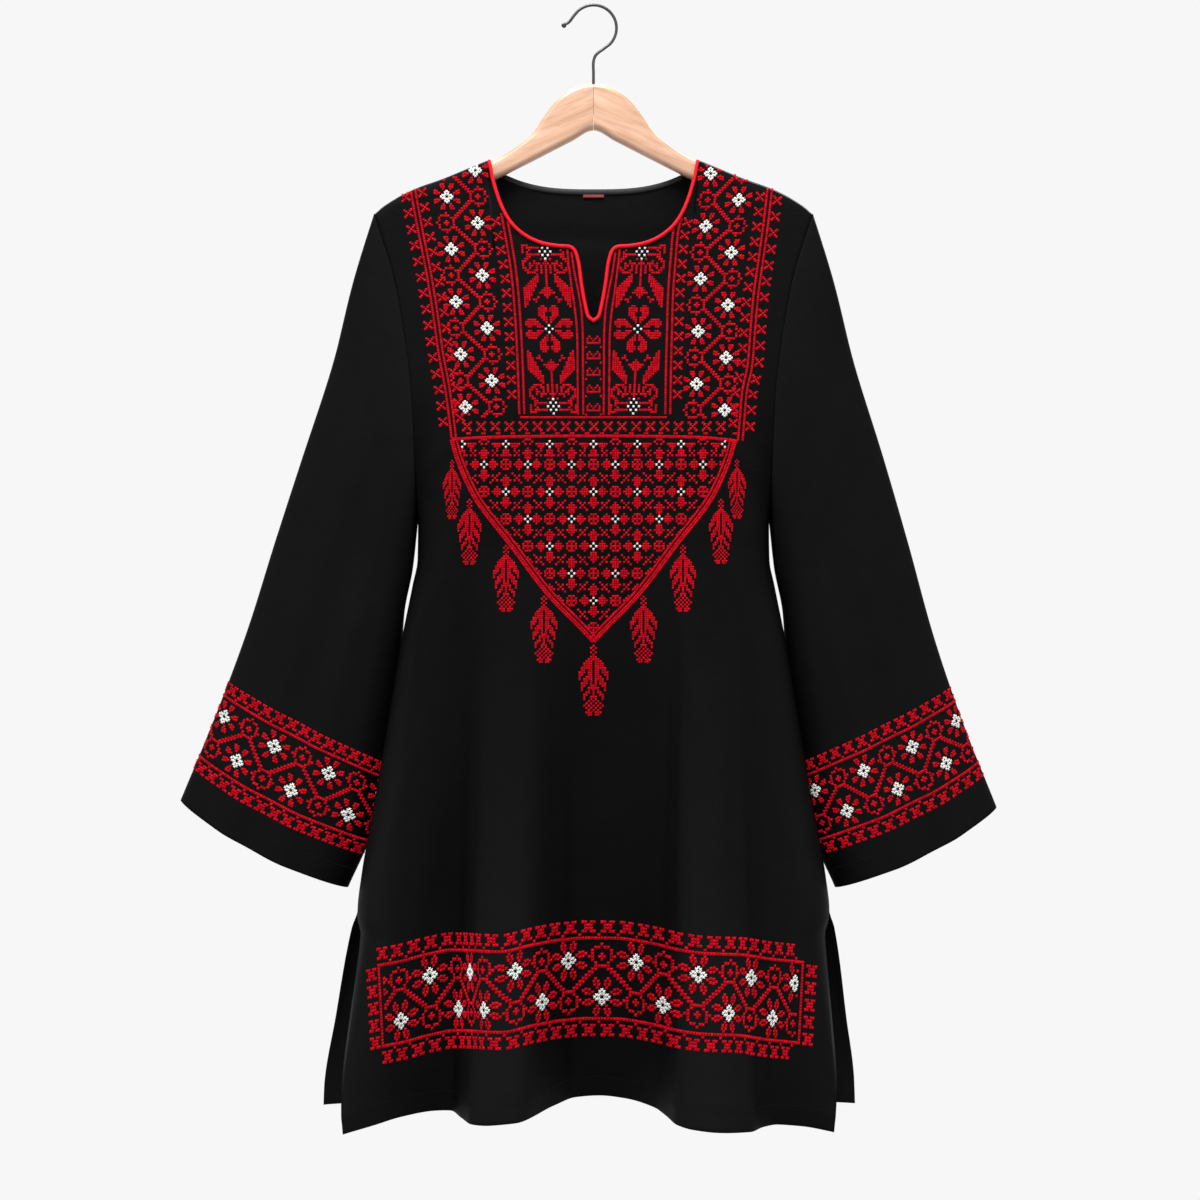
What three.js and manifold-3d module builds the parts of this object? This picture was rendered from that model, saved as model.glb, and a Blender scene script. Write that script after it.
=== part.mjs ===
// A long-sleeved A-line tunic hanging on a wooden hanger with a wire hook.
// Millimetres, +Z up, and the front of the tunic looks along -Y.
// The origin is under the crown of the hook, where a rod would carry it.

import * as THREE from 'three';
import { mergeVertices } from 'three/addons/utils/BufferGeometryUtils.js';
import Module from 'manifold-3d';

// Cloth
const wall = 1.2;          // cloth of the body and sleeves
const hemWall = 2.0;       // turned hems, where the cloth is double
const hemTurn = 19;        // height of a turned hem
const seamGap = 0.3;       // between neighbouring pieces
const underarmZ = -515;
const underarmCurve = 85;   // height of the armhole's curve into the underarm
const slitTopZ = -905;     // the side seams end here and the slits begin
const foldTopZ = -540;     // the hem's folds die away at this height
const hemCentreZ = -1088;  // front hem at the middle
const backHemCentreZ = -1090;
const frontHemHalf = 240;
const backHemHalf = 270;
const hemDrop = 16;        // how much lower the hem is at the sides
const topRound = 9;        // roundness of the cloth over the shoulders
const sideRound = 14;      // roundness of the cloth at the side seams
const skirtRound = 35;     // and what the skirt adds to it at the hem
const hemSway = -4.3;      // the front hem hangs a little to the left

// Neck
const pipingRadius = 1.75;
const pipingSides = 7;
const pipingSteps = 68;
const pipingProud = 0.7;   // its middle stands this far in front of the cloth
const neckGap = 1.2;       // from the piping to the cloth's cut edge, which is a row of short straight lines
const bindingWidth = 5;
const bindingThickness = 0.8;
const bindingHalf = 90;
const bindingDrop = 0.6;   // from the cut edge of the back down to the binding
const label = { width: 21, height: 2.8, thickness: 0.8 };

// Hanger
const hookWire = 1.5;      // radius of the wire
const hookRadius = 23;     // of the ring, at the middle of the wire
const hookSides = 8;
const hookSteps = 42;
const stemFoot = -108;     // the wire ends here inside the wood
const stemClearance = 0.3;
const hangerThickness = 12.6;
const hangerArmHeight = 21;
const hangerEdgeRound = 5;

// Shoulder seam, the right half, from the middle of the neck to the tip
const shoulderTable = [
  { x: 0, z: -113 },
  { x: 103.5, z: -153 },
  { x: 122, z: -160.5 },
  { x: 150, z: -172 },
  { x: 176, z: -181.5 },
  { x: 194, z: -190 },
  { x: 209, z: -199.5 },
  { x: 219, z: -207.7 },
];
const shoulderTip = shoulderTable[shoulderTable.length - 1];

// Half width of the body: armhole, side seam, then the free edge beside the slit
const sideTable = [
  { z: -207.7, half: 219 },
  { z: -235, half: 210 },
  { z: -265, half: 200.5 },
  { z: -300, half: 192.8 },
  { z: -345, half: 185.5 },
  { z: -388, half: 180.5 },
  { z: -440, half: 177.8 },
  { z: -515, half: 175.5 },
  { z: -553, half: 176 },
  { z: -579, half: 181 },
  { z: -634, half: 192 },
  { z: -700, half: 203 },
  { z: -760, half: 213 },
  { z: -822, half: 224 },
  { z: -868, half: 232 },
  { z: -905, half: 236 },
];
const frontEdgeTable = [
  ...sideTable,
  { z: -924, half: 231.5 },
  { z: -960, half: 233.2 },
  { z: -1000, half: 236 },
  { z: -1056, half: 238.8 },
  { z: -1104, half: 234.7 },
];
const backEdgeTable = [
  ...sideTable,
  { z: -921, half: 241.5 },
  { z: -1014, half: 257.7 },
  { z: -1087, half: 269.5 },
  { z: -1106, half: 270.2 },
];

// How far the front and the back stand from the seam plane, before the folds
const frontDepthTable = [
  { z: -150, depth: 10 },
  { z: -220, depth: 10.8 },
  { z: -320, depth: 14 },
  { z: -440, depth: 18 },
  { z: -560, depth: 20 },
];
const backDepthTable = [
  { z: -150, depth: 10.5 },
  { z: -250, depth: 11 },
  { z: -400, depth: 15 },
  { z: -560, depth: 17 },
];

// Folds across the front hem: depth in front of the seam plane, and how far
// each line leans to the right over foldRise above the hem
const foldRise = 500;
const frontFolds = [
  { x: -239, depth: 68, lean: 54 },
  { x: -212, depth: 53, lean: 44 },
  { x: -188, depth: 37, lean: 32 },
  { x: -158, depth: 28, lean: 20 },
  { x: -140, depth: 31, lean: 14 },
  { x: -127, depth: 55, lean: 13 },
  { x: -115, depth: 76, lean: 13 },
  { x: -98, depth: 82, lean: 12 },
  { x: -74, depth: 79, lean: 10 },
  { x: -38, depth: 31, lean: 8 },
  { x: -18, depth: 8, lean: 6 },
  { x: 6, depth: 3, lean: 6 },
  { x: 32, depth: 11, lean: 9 },
  { x: 60, depth: 36, lean: 13 },
  { x: 70, depth: 58, lean: 14 },
  { x: 79, depth: 82, lean: 13 },
  { x: 94, depth: 94, lean: 8 },
  { x: 114, depth: 98, lean: 0 },
  { x: 148, depth: 89, lean: -12 },
  { x: 162, depth: 72, lean: -18 },
  { x: 178, depth: 61, lean: -24 },
  { x: 203, depth: 59, lean: -36 },
  { x: 230.5, depth: 65, lean: -50 },
];

// Folds across the back hem
const backFolds = [
  { x: -272, depth: 25 },
  { x: -215, depth: 18 },
  { x: -160, depth: 44 },
  { x: -95, depth: 21 },
  { x: -15, depth: 52 },
  { x: 55, depth: 22 },
  { x: 130, depth: 46 },
  { x: 205, depth: 18 },
  { x: 269, depth: 27 },
];

// Front neckline and slit, the right half, along the middle of the piping
const necklineTable = [
  { x: 103.6, z: -157 },
  { x: 98.8, z: -180 },
  { x: 90.8, z: -203.4 },
  { x: 81.4, z: -219.3 },
  { x: 69, z: -230.7 },
  { x: 53.1, z: -238.6 },
  { x: 36, z: -242 },
  { x: 22.6, z: -243.4 },
  { x: 18.6, z: -247 },
  { x: 15, z: -258 },
  { x: 12, z: -279.8 },
  { x: 7.6, z: -303.6 },
  { x: 5, z: -312.6 },
  { x: 0, z: -317 },
];

// Sleeves: edges of the flat tube, its middle plane and half depth, from armhole to cuff
const sleeveSections = [
  { t: 0, outerX: 219, outerZ: -207.7, innerX: 175.5, innerZ: -515, middle: 0, half: 10 },
  { t: 0.12, outerX: 241.5, outerZ: -278.5, innerX: 180.6, innerZ: -560, middle: 5, half: 13 },
  { t: 0.25, outerX: 262.4, outerZ: -355, innerX: 190.5, innerZ: -607, middle: 11, half: 16 },
  { t: 0.4, outerX: 292.3, outerZ: -443, innerX: 195, innerZ: -662, middle: 17, half: 18 },
  { t: 0.55, outerX: 321.3, outerZ: -531.6, innerX: 203.5, innerZ: -718, middle: 18, half: 19 },
  { t: 0.7, outerX: 349.3, outerZ: -621, innerX: 213, innerZ: -774, middle: 18, half: 20 },
  { t: 0.85, outerX: 381.5, outerZ: -708.8, innerX: 224.5, innerZ: -829, middle: 16.5, half: 21 },
  { t: 1, outerX: 416.5, outerZ: -795, innerX: 247.5, innerZ: -883, middle: 14, half: 22 },
];
const rightCuff = { outerX: -10, outerZ: -7, innerX: -4 };  // the right cuff hangs nearer the body
const cuffSag = 6.5;
const sagDirection = { x: 0.47, z: -0.88 };  // along the sleeve at the cuff
const sleeveLength = 500;  // along its middle, on average
const sleeveFullness = 2.4;  // the higher, the squarer the flat tube's edges
const sleeveBlend = 0.25;  // share of the sleeve that still has the armhole's shape
const sleeveFolds = [
  { v: 0.3, width: 0.09, depth: 4 },
  { v: 0.62, width: 0.12, depth: 5 },
];

// Upper edge of the hanger where it shows, the right half
const hangerTop = [
  { x: 0, z: -78.2 },
  { x: 16, z: -81 },
  { x: 34, z: -91.5 },
  { x: 48, z: -108.5 },
  { x: 61, z: -127.5 },
  { x: 76, z: -140 },
  { x: 98, z: -153.8 },
];
const hangerUnder = [
  { x: 0, z: -123.5 },
  { x: 22, z: -134.5 },
  { x: 60, z: -154 },
  { x: 99, z: -173.5 },
];
const hangerEnd = [
  { x: 199, z: -215 },
  { x: 206, z: -214 },
  { x: 209.5, z: -208.5 },
  { x: 205.5, z: -201.5 },
];
const hangerSeat = wall + 1.2;      // its top edge lies this far under the shoulder seam

const colours = {
  cloth: { color: 0x1a1a1b, roughness: 0.78, metalness: 0 },
  binding: { color: 0x202022, roughness: 0.7, metalness: 0 },
  piping: { color: 0xa3142c, roughness: 0.6, metalness: 0 },
  label: { color: 0x6e2429, roughness: 0.8, metalness: 0 },
  wood: { color: 0xd9b18c, roughness: 0.5, metalness: 0 },
  wire: { color: 0x141414, roughness: 0.35, metalness: 0.8 },
};

const wasm = await Module();
wasm.setup();

// Curves and small helpers

const clamp01 = (q) => Math.min(1, Math.max(0, q));
const easeInOut = (q) => clamp01(q) ** 2 * (3 - 2 * clamp01(q));
const quarterRound = (q) => Math.sqrt(1 - (1 - clamp01(q)) ** 2);

// A smooth curve through the rows of a table, with no overshoot between them
function curveThrough(rows, from, to) {
  const sorted = [...rows].sort((a, b) => a[from] - b[from]);
  const xs = sorted.map((row) => row[from]);
  const ys = sorted.map((row) => row[to]);
  const last = xs.length - 1;
  const slopes = xs.slice(1).map((x, i) => (ys[i + 1] - ys[i]) / (x - xs[i]));
  const tangents = xs.map((x, i) => {
    if (i === 0) return slopes[0];
    if (i === last) return slopes[last - 1];
    const [before, after] = [slopes[i - 1], slopes[i]];
    return before * after <= 0 ? 0 : (2 * before * after) / (before + after);
  });
  return (q) => {
    if (q <= xs[0]) return ys[0];
    if (q >= xs[last]) return ys[last];
    let i = 0;
    while (q > xs[i + 1]) i += 1;
    const width = xs[i + 1] - xs[i];
    const s = (q - xs[i]) / width;
    const bend = tangents[i] * width * s * (1 - s) ** 2 - tangents[i + 1] * width * s ** 2 * (1 - s);
    return ys[i] * (1 - s) ** 2 * (1 + 2 * s) + ys[i + 1] * s ** 2 * (3 - 2 * s) + bend;
  };
}

// A function of the share of a line's length, from a dense row of its points
function alongLine(points) {
  const lengths = [0];
  for (let i = 1; i < points.length; i += 1) {
    lengths.push(lengths[i - 1] + points[i].distanceTo(points[i - 1]));
  }
  const total = lengths[lengths.length - 1];
  return (share) => {
    const wanted = clamp01(share) * total;
    let i = 1;
    while (i < points.length - 1 && lengths[i] < wanted) i += 1;
    const part = (wanted - lengths[i - 1]) / (lengths[i] - lengths[i - 1]);
    return points[i - 1].clone().lerp(points[i], part);
  };
}

const lineLength = (points) => points.slice(1).reduce((sum, p, i) => sum + p.distanceTo(points[i]), 0);
const steps = (count, valueAt) => Array.from({ length: count + 1 }, (_, i) => valueAt(i / count));
const roundSteps = (radius) => [0, 0.25, 0.5, 0.75].map((q) => radius * (1 - Math.cos(q * Math.PI / 2)));

// The form of the body: y of the front and of the back over x and z

const shoulderZ = curveThrough(shoulderTable, 'x', 'z');
const frontHalf = curveThrough(frontEdgeTable, 'z', 'half');
const backHalf = curveThrough(backEdgeTable, 'z', 'half');
const frontBase = curveThrough(frontDepthTable, 'z', 'depth');
const backBase = curveThrough(backDepthTable, 'z', 'depth');
const frontFold = curveThrough(frontFolds, 'x', 'depth');
const foldLean = curveThrough(frontFolds, 'x', 'lean');
const backFold = curveThrough(backFolds, 'x', 'depth');

const frontHemZ = (x) => hemCentreZ - hemDrop * (x / frontHemHalf) ** 2;
const backHemZ = (x) => backHemCentreZ - hemDrop * (x / backHemHalf) ** 2;
const foldGrowth = (z) => clamp01((foldTopZ - z) / (foldTopZ - hemCentreZ)) ** 1.1;
const slitOpening = (z) => clamp01((slitTopZ - z) / (slitTopZ - hemCentreZ));
const sway = (z) => hemSway * slitOpening(z);

// Share of the depth that an edge keeps: whole at the armhole, none at the side seam,
// and growing again beside the slit
function edgeShare(z) {
  const fall = clamp01((underarmZ + underarmCurve - z) / underarmCurve);
  return Math.max(Math.sqrt(1 - fall ** 2), slitOpening(z));
}

function panelDepth(fullDepth, halfWidth, x, z) {
  const edge = halfWidth - Math.abs(x - sway(z));
  const kept = edgeShare(z);
  const rounding = sideRound + skirtRound * foldGrowth(z);
  const side = kept + (1 - kept) * quarterRound(edge / rounding);
  const top = quarterRound((shoulderZ(Math.abs(x)) - z) / topRound);
  return seamGap / 2 + fullDepth * side * top;
}

function frontY(x, z) {
  const growth = foldGrowth(z);
  const atHem = x - foldLean(x) * clamp01((z - frontHemZ(x)) / foldRise);
  const full = frontBase(z) * (1 - growth) + frontFold(atHem) * growth;
  return -panelDepth(full, frontHalf(z), x, z);
}

function backY(x, z) {
  const growth = foldGrowth(z);
  const full = backBase(z) * (1 - growth) + backFold(x) * growth;
  return panelDepth(full, backHalf(z), x, z);
}

// Closed walls from grids of points

// Direction into the cloth at each grid point, from its neighbours
function wallDirections(grid, closed, inward) {
  const rows = grid.length;
  const columns = grid[0].length;
  return grid.map((row, j) => row.map((point, i) => {
    const left = closed ? (i + columns - 1) % columns : Math.max(i - 1, 0);
    const right = closed ? (i + 1) % columns : Math.min(i + 1, columns - 1);
    const across = grid[j][right].clone().sub(grid[j][left]);
    const down = grid[Math.min(j + 1, rows - 1)][i].clone().sub(grid[Math.max(j - 1, 0)][i]);
    return across.cross(down).multiplyScalar(inward).normalize();
  }));
}

// Joins an outer and an inner grid into one closed wall
function wallGeometry(outer, inner, closed, flip) {
  const rows = outer.length;
  const columns = outer[0].length;
  const positions = [...outer.flat(), ...inner.flat()].flatMap((p) => [p.x, p.y, p.z]);
  const faces = [];
  const quad = (a, b, c, d) => faces.push(...(flip ? [a, c, b, a, d, c] : [a, b, c, a, c, d]));
  const outerAt = (j, i) => j * columns + (i % columns);
  const innerAt = (j, i) => rows * columns + outerAt(j, i);
  const spans = closed ? columns : columns - 1;
  for (let j = 0; j < rows - 1; j += 1) {
    for (let i = 0; i < spans; i += 1) {
      quad(outerAt(j, i), outerAt(j + 1, i), outerAt(j + 1, i + 1), outerAt(j, i + 1));
      quad(innerAt(j, i), innerAt(j, i + 1), innerAt(j + 1, i + 1), innerAt(j + 1, i));
    }
    if (!closed) {
      quad(outerAt(j, 0), innerAt(j, 0), innerAt(j + 1, 0), outerAt(j + 1, 0));
      quad(outerAt(j, spans), outerAt(j + 1, spans), innerAt(j + 1, spans), innerAt(j, spans));
    }
  }
  for (let i = 0; i < spans; i += 1) {
    quad(outerAt(0, i), outerAt(0, i + 1), innerAt(0, i + 1), innerAt(0, i));
    quad(outerAt(rows - 1, i), innerAt(rows - 1, i), innerAt(rows - 1, i + 1), outerAt(rows - 1, i + 1));
  }
  const geometry = new THREE.BufferGeometry();
  geometry.setAttribute('position', new THREE.Float32BufferAttribute(positions, 3));
  geometry.setIndex(faces);
  return geometry;
}

// A solid from a closed mesh, and back
function toSolid(geometry) {
  const bare = geometry.clone();
  bare.deleteAttribute('normal');
  bare.deleteAttribute('uv');
  const merged = mergeVertices(bare, 1e-4);
  const vertProperties = new Float32Array(merged.attributes.position.array);
  const triVerts = new Uint32Array(merged.index.array);
  return new wasm.Manifold(new wasm.Mesh({ numProp: 3, vertProperties, triVerts }));
}

function toGeometry(solid) {
  const mesh = solid.getMesh();
  const geometry = new THREE.BufferGeometry();
  geometry.setAttribute('position', new THREE.BufferAttribute(mesh.vertProperties, 3));
  geometry.setIndex(new THREE.BufferAttribute(mesh.triVerts, 1));
  return geometry;
}

// Body panels

// Heights of the rows at a side edge, the same for both panels and the sleeves
const armholeLevels = [
  ...roundSteps(topRound).map((d) => shoulderTip.z - d),
  ...steps(6, (q) => shoulderTip.z - topRound + (underarmZ + underarmCurve - shoulderTip.z + topRound) * q),
  ...[0.25, 0.5, 0.75, 1].map((q) => underarmZ + underarmCurve * (1 - Math.sin(q * Math.PI / 2))),
];
const sideReach = 5;       // the higher, the less the middle columns follow the sides
const seamLevels = steps(7, (q) => underarmZ + (slitTopZ - underarmZ) * q).slice(1);
const skirtShares = [0.2, 0.4, 0.6, 0.78];
const panelCuts = [-250, -570];  // heights at a side edge under which the chest and the skirt begin

// The middle of the front neckline's piping, from the right shoulder to the foot of the slit
const pipingLine = new THREE.CatmullRomCurve3(
  necklineTable.map(({ x, z }) => new THREE.Vector3(x, 0, z)), false, 'centripetal',
);

// Top edge of the front, the right half, from the foot of the slit to the shoulder tip
function frontTopEdge() {
  const reach = pipingRadius + neckGap;
  const neckline = steps(120, (q) => {
    const point = pipingLine.getPoint(1 - q);
    const tangent = pipingLine.getTangent(1 - q);
    return new THREE.Vector3(point.x - tangent.z * reach, 0, point.z + tangent.x * reach);
  });
  const neck = neckline[neckline.length - 1];
  neck.z = shoulderZ(neck.x);
  const shoulder = steps(30, (q) => {
    const x = neck.x + (shoulderTip.x - neck.x) * q;
    return new THREE.Vector3(x, 0, shoulderZ(x));
  });
  neckline[0].x = 0;
  return { neckLength: lineLength(neckline), points: [...neckline, ...shoulder.slice(1)] };
}

// Top edge of the back, the right half, from the middle of the neck to the shoulder tip
const backNeck = { x: 106.6, middleZ: -180 };
function backNeckZ(x) {
  const rise = shoulderZ(backNeck.x) - backNeck.middleZ;
  return backNeck.middleZ + rise * Math.abs(x / backNeck.x) ** 3;
}
function backTopEdge() {
  const neckline = steps(60, (q) => new THREE.Vector3(backNeck.x * q, 0, backNeckZ(backNeck.x * q)));
  const shoulder = steps(30, (q) => {
    const x = backNeck.x + (shoulderTip.x - backNeck.x) * q;
    return new THREE.Vector3(x, 0, shoulderZ(x));
  });
  return { neckLength: lineLength(neckline), points: [...neckline, ...shoulder.slice(1)] };
}

const mirrored = (half) => [...half.slice(1).reverse().map((p) => new THREE.Vector3(-p.x, p.y, p.z)), ...half];

// A panel's wall, as a top, a chest and a skirt that meet face to face: rows run from its top
// edge to its hem, columns from left to right. The columns' places on the right half of the top edge are distances from its middle along
// the neckline, then from the neck point in both directions.
function panelGeometries({ topEdge, halfAt, hemZ, surfaceY, fromMiddle, fromNeck, frontSide }) {
  const sideX = (side, z) => side * halfAt(z) + sway(z);
  const hemEnds = [-1, 1].map((side) => {
    const x = sideX(side, hemZ(sideX(side, hemCentreZ - hemDrop)));
    return new THREE.Vector3(x, 0, hemZ(x));
  });
  const topLine = alongLine(mirrored(topEdge.points));
  const hemLine = alongLine(steps(400, (q) => {
    const x = hemEnds[0].x + (hemEnds[1].x - hemEnds[0].x) * q;
    return new THREE.Vector3(x, surfaceY(x, hemZ(x)), hemZ(x));
  }));
  const levelsOf = (end) => [
    ...armholeLevels,
    ...seamLevels,
    ...skirtShares.map((q) => slitTopZ + (end.z - slitTopZ) * q),
    end.z + hemTurn,
    end.z,
  ];
  const levels = hemEnds.map(levelsOf);
  const halfLength = lineLength(topEdge.points);
  const stations = [...fromMiddle, ...fromNeck.map((distance) => topEdge.neckLength + distance)];
  const rightSide = [...stations, sideRound, ...roundSteps(sideRound).reverse()]
    .map((distance, i) => (i < stations.length ? distance : halfLength - distance) / halfLength);
  const shares = [...rightSide.slice(1).reverse().map((q) => 0.5 - q / 2), ...rightSide.map((q) => 0.5 + q / 2)];
  const rows = levels[0].length;
  const outer = Array.from({ length: rows }, (_, j) => shares.map((u) => {
    const top = topLine(u);
    const hem = hemLine(u);
    const v = (shoulderTip.z - levels[0][j]) / (shoulderTip.z - hemEnds[0].z);
    const point = new THREE.Vector3(top.x * (1 - v) + hem.x * v, 0, top.z * (1 - v) + hem.z * v);
    [-1, 1].forEach((side, k) => {
      const weight = k === 0 ? 1 - u : u;
      const z = levels[k][j];
      const shift = sideX(side, z) - (side * shoulderTip.x * (1 - v) + hemEnds[k].x * v);
      point.x += weight ** sideReach * shift;
      point.z += weight * (z - (shoulderTip.z * (1 - v) + hemEnds[k].z * v));
    });
    point.y = surfaceY(point.x, point.z);
    return point;
  }));
  const directions = wallDirections(outer, false, frontSide ? 1 : -1);
  const lastColumn = shares.length - 1;
  directions.forEach((row, j) => row.forEach((direction, i) => {
    const onSide = i === 0 || i === lastColumn;
    const onShoulder = j === 0 && Math.abs(outer[j][i].x) >= backNeck.x;
    const z = outer[j][i].z;
    if (j === 0 || (onSide && z > underarmZ + 1)) direction.x = 0;
    if (onShoulder || (onSide && z <= underarmZ + 1 && z > slitTopZ - 1)) direction.y = 0;
    direction.normalize();
  }));
  const inner = outer.map((row, j) => row.map((point, i) => (
    point.clone().addScaledVector(directions[j][i], j >= rows - 2 ? hemWall : wall)
  )));
  const cutRows = panelCuts.map((z) => levels[0].findIndex((level) => level <= z));
  return [0, ...cutRows].map((start, k) => {
    const end = (cutRows[k] ?? rows - 1) + 1;
    return wallGeometry(outer.slice(start, end), inner.slice(start, end), false, !frontSide);
  });
}

// Sleeves

function sleeveGeometry(side) {
  const isRight = side > 0;
  const sections = sleeveSections.map((row) => {
    const late = isRight ? easeInOut((row.t - 0.25) / 0.75) : 0;
    return {
      ...row,
      outerX: row.outerX + rightCuff.outerX * late,
      outerZ: row.outerZ + rightCuff.outerZ * late,
      innerX: row.innerX + rightCuff.innerX * late,
    };
  });
  const at = Object.fromEntries(['outerX', 'outerZ', 'innerX', 'innerZ', 'middle', 'half']
    .map((name) => [name, curveThrough(sections, 't', name)]));
  const shareOf = (z) => (shoulderTip.z - z) / (shoulderTip.z - underarmZ);
  const down = armholeLevels.map((z) => ({ v: shareOf(z), z, face: -1 }));
  const up = down.slice(1, -1).reverse().map((entry) => ({ ...entry, face: 1 }));
  const around = [...down, ...up];
  const turnShare = 1 - hemTurn / sleeveLength;
  const ringShares = [0, 0.04, 0.1, 0.17, 0.25, 0.35, 0.45, 0.56, 0.67, 0.78, 0.88, turnShare, 1];
  const outer = ringShares.map((t) => around.map(({ v, z, face }) => {
    const blend = easeInOut(t / sleeveBlend);
    const armholeX = frontHalf(z) + seamGap;
    const straight = shoulderTip.x + (sleeveSections[0].innerX - shoulderTip.x) * v;
    const bow = (armholeX - straight) * (1 - t) ** 2;
    const sag = cuffSag * 4 * v * (1 - v) * t ** 4;
    const x = at.outerX(t) + (at.innerX(t) - at.outerX(t)) * v + bow + sag * sagDirection.x;
    const height = at.outerZ(t) + (at.innerZ(t) - at.outerZ(t)) * v + sag * sagDirection.z;
    const edgeX = frontHalf(z);
    const edgeY = face < 0 ? frontY(edgeX, z) : backY(edgeX, z);
    const onEdge = v === 0 || v === 1;
    const fold = sleeveFolds.reduce((sum, row) => (
      sum + row.depth * Math.exp(-(((v - row.v) / row.width) ** 2))
    ), 0) * Math.sin(Math.PI * v) * easeInOut(t / 0.6);
    const lens = Math.sqrt(1 - Math.abs(2 * v - 1) ** sleeveFullness);
    const tubeY = at.middle(t) + face * (at.half(t) * lens + fold);
    const y = (1 - blend) * (onEdge ? 0 : edgeY) + blend * tubeY;
    return new THREE.Vector3(side * x, y, t === 0 ? z : height);
  }));
  const directions = wallDirections(outer, true, -side);
  directions[0].forEach((direction) => {
    direction.x = 0;
    direction.normalize();
  });
  const inner = outer.map((ring, j) => ring.map((point, i) => (
    point.clone().addScaledVector(directions[j][i], j >= ringShares.length - 2 ? hemWall : wall)
  )));
  return wallGeometry(outer, inner, true, side > 0);
}

// Neck pieces

function roundBar(path, radius, sides, count) {
  const section = new THREE.Shape();
  section.setFromPoints(steps(sides, (q) => (
    new THREE.Vector2(radius * Math.cos(q * 2 * Math.PI), radius * Math.sin(q * 2 * Math.PI))
  )).slice(0, -1));
  return new THREE.ExtrudeGeometry(section, { steps: count, extrudePath: path });
}

// The piping runs along the cut edge of the front and stands a little proud of it
function pipingGeometry() {
  const half = steps(48, (q) => {
    const point = pipingLine.getPoint(q);
    return new THREE.Vector3(point.x, frontY(point.x, point.z) - pipingProud, point.z);
  });
  const whole = [...half, ...half.slice(0, -1).reverse().map((p) => new THREE.Vector3(-p.x, p.y, p.z))];
  const path = new THREE.CatmullRomCurve3(whole, false, 'centripetal');
  return roundBar(path, pipingRadius, pipingSides, pipingSteps);
}

// A strip inside the back neckline, moved out from the panel's own points
function bindingGeometry() {
  const layer = (offset) => [bindingDrop, bindingDrop + bindingWidth].map((drop) => steps(24, (q) => {
    const x = bindingHalf * (2 * q - 1);
    const z = backNeckZ(x) - drop;
    return new THREE.Vector3(x, backY(x, z) - offset, z);
  }));
  const near = layer(wall + seamGap);
  const far = layer(wall + seamGap + bindingThickness);
  return wallGeometry(far, near, false, false);
}

function labelMesh(material) {
  const topZ = backNeckZ(0) - bindingDrop - bindingWidth - seamGap;
  const centreZ = topZ - label.height / 2;
  const mesh = new THREE.Mesh(new THREE.BoxGeometry(label.width, label.thickness, label.height), material);
  mesh.position.set(0, backY(0, centreZ) - wall - seamGap - label.thickness / 2 - 0.1, centreZ);
  return mesh;
}

// Hanger

function hangerOutline() {
  const under = (x, drop) => ({ x, z: shoulderZ(x) - hangerSeat - drop });
  const top = [...hangerTop.slice(1), ...[125, 150, 176, 194].map((x) => under(x, 0))];
  const bottom = [...hangerUnder, ...[125, 150, 176].map((x) => under(x, hangerArmHeight))];
  const half = [...bottom, ...hangerEnd, ...top.reverse()];
  const right = half.map(({ x, z }) => new THREE.Vector2(x, z));
  const left = half.slice(1).reverse().map(({ x, z }) => new THREE.Vector2(-x, z));
  const peak = new THREE.Vector2(hangerTop[0].x, hangerTop[0].z);
  const curve = new THREE.CatmullRomCurve3(
    [...right, peak, ...left].map((p) => new THREE.Vector3(p.x, p.y, 0)), true, 'centripetal',
  );
  return new THREE.Shape(curve.getPoints(72).slice(0, -1).map((p) => new THREE.Vector2(p.x, p.y)));
}

// Two arms, parted at the middle, with a blind hole for the wire
function hangerGeometries() {
  const board = new THREE.ExtrudeGeometry(hangerOutline(), {
    depth: hangerThickness - 2 * hangerEdgeRound,
    bevelEnabled: true,
    bevelThickness: hangerEdgeRound,
    bevelSize: hangerEdgeRound,
    bevelOffset: -hangerEdgeRound,
    bevelSegments: 3,
  });
  board.translate(0, 0, hangerEdgeRound - hangerThickness / 2);
  board.rotateX(Math.PI / 2);
  const hole = new THREE.CylinderGeometry(hookWire + stemClearance, hookWire + stemClearance, 80, 16);
  hole.rotateX(Math.PI / 2);
  hole.translate(0, 0, stemFoot - stemClearance + 40);
  const whole = toSolid(board).subtract(toSolid(hole));
  return [-1, 1].map((side) => {
    const keep = new THREE.BoxGeometry(300, 60, 300);
    keep.translate(side * (150 + seamGap / 2), 0, -150);
    return toGeometry(whole.intersect(toSolid(keep)));
  });
}

// The hook: a ball tip that flares out, the ring, and the stem
function hookGeometry() {
  const centre = { x: 0, z: hookWire - hookRadius };
  const tip = new THREE.Vector3(-29.5, 0, -18.8);
  const ring = steps(10, (q) => {
    const angle = THREE.MathUtils.degToRad(146 - 208 * q);
    return new THREE.Vector3(centre.x + hookRadius * Math.cos(angle), 0, centre.z + hookRadius * Math.sin(angle));
  });
  const stem = [[2.4, -48.6], [0, -55], [0, -66], [0, -78], [0, stemFoot]].map(([x, z]) => new THREE.Vector3(x, 0, z));
  const path = new THREE.CatmullRomCurve3([tip, new THREE.Vector3(-24.3, 0, -15.4), ...ring, ...stem], false, 'centripetal');
  const ball = new THREE.SphereGeometry(2.6, 10, 8);
  ball.translate(tip.x, tip.y, tip.z);
  return toGeometry(toSolid(roundBar(path, hookWire, hookSides, hookSteps)).add(toSolid(ball)));
}

// Assembly

const materials = Object.fromEntries(Object.entries(colours).map(([name, values]) => (
  [name, () => new THREE.MeshStandardMaterial(values)]
)));

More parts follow.
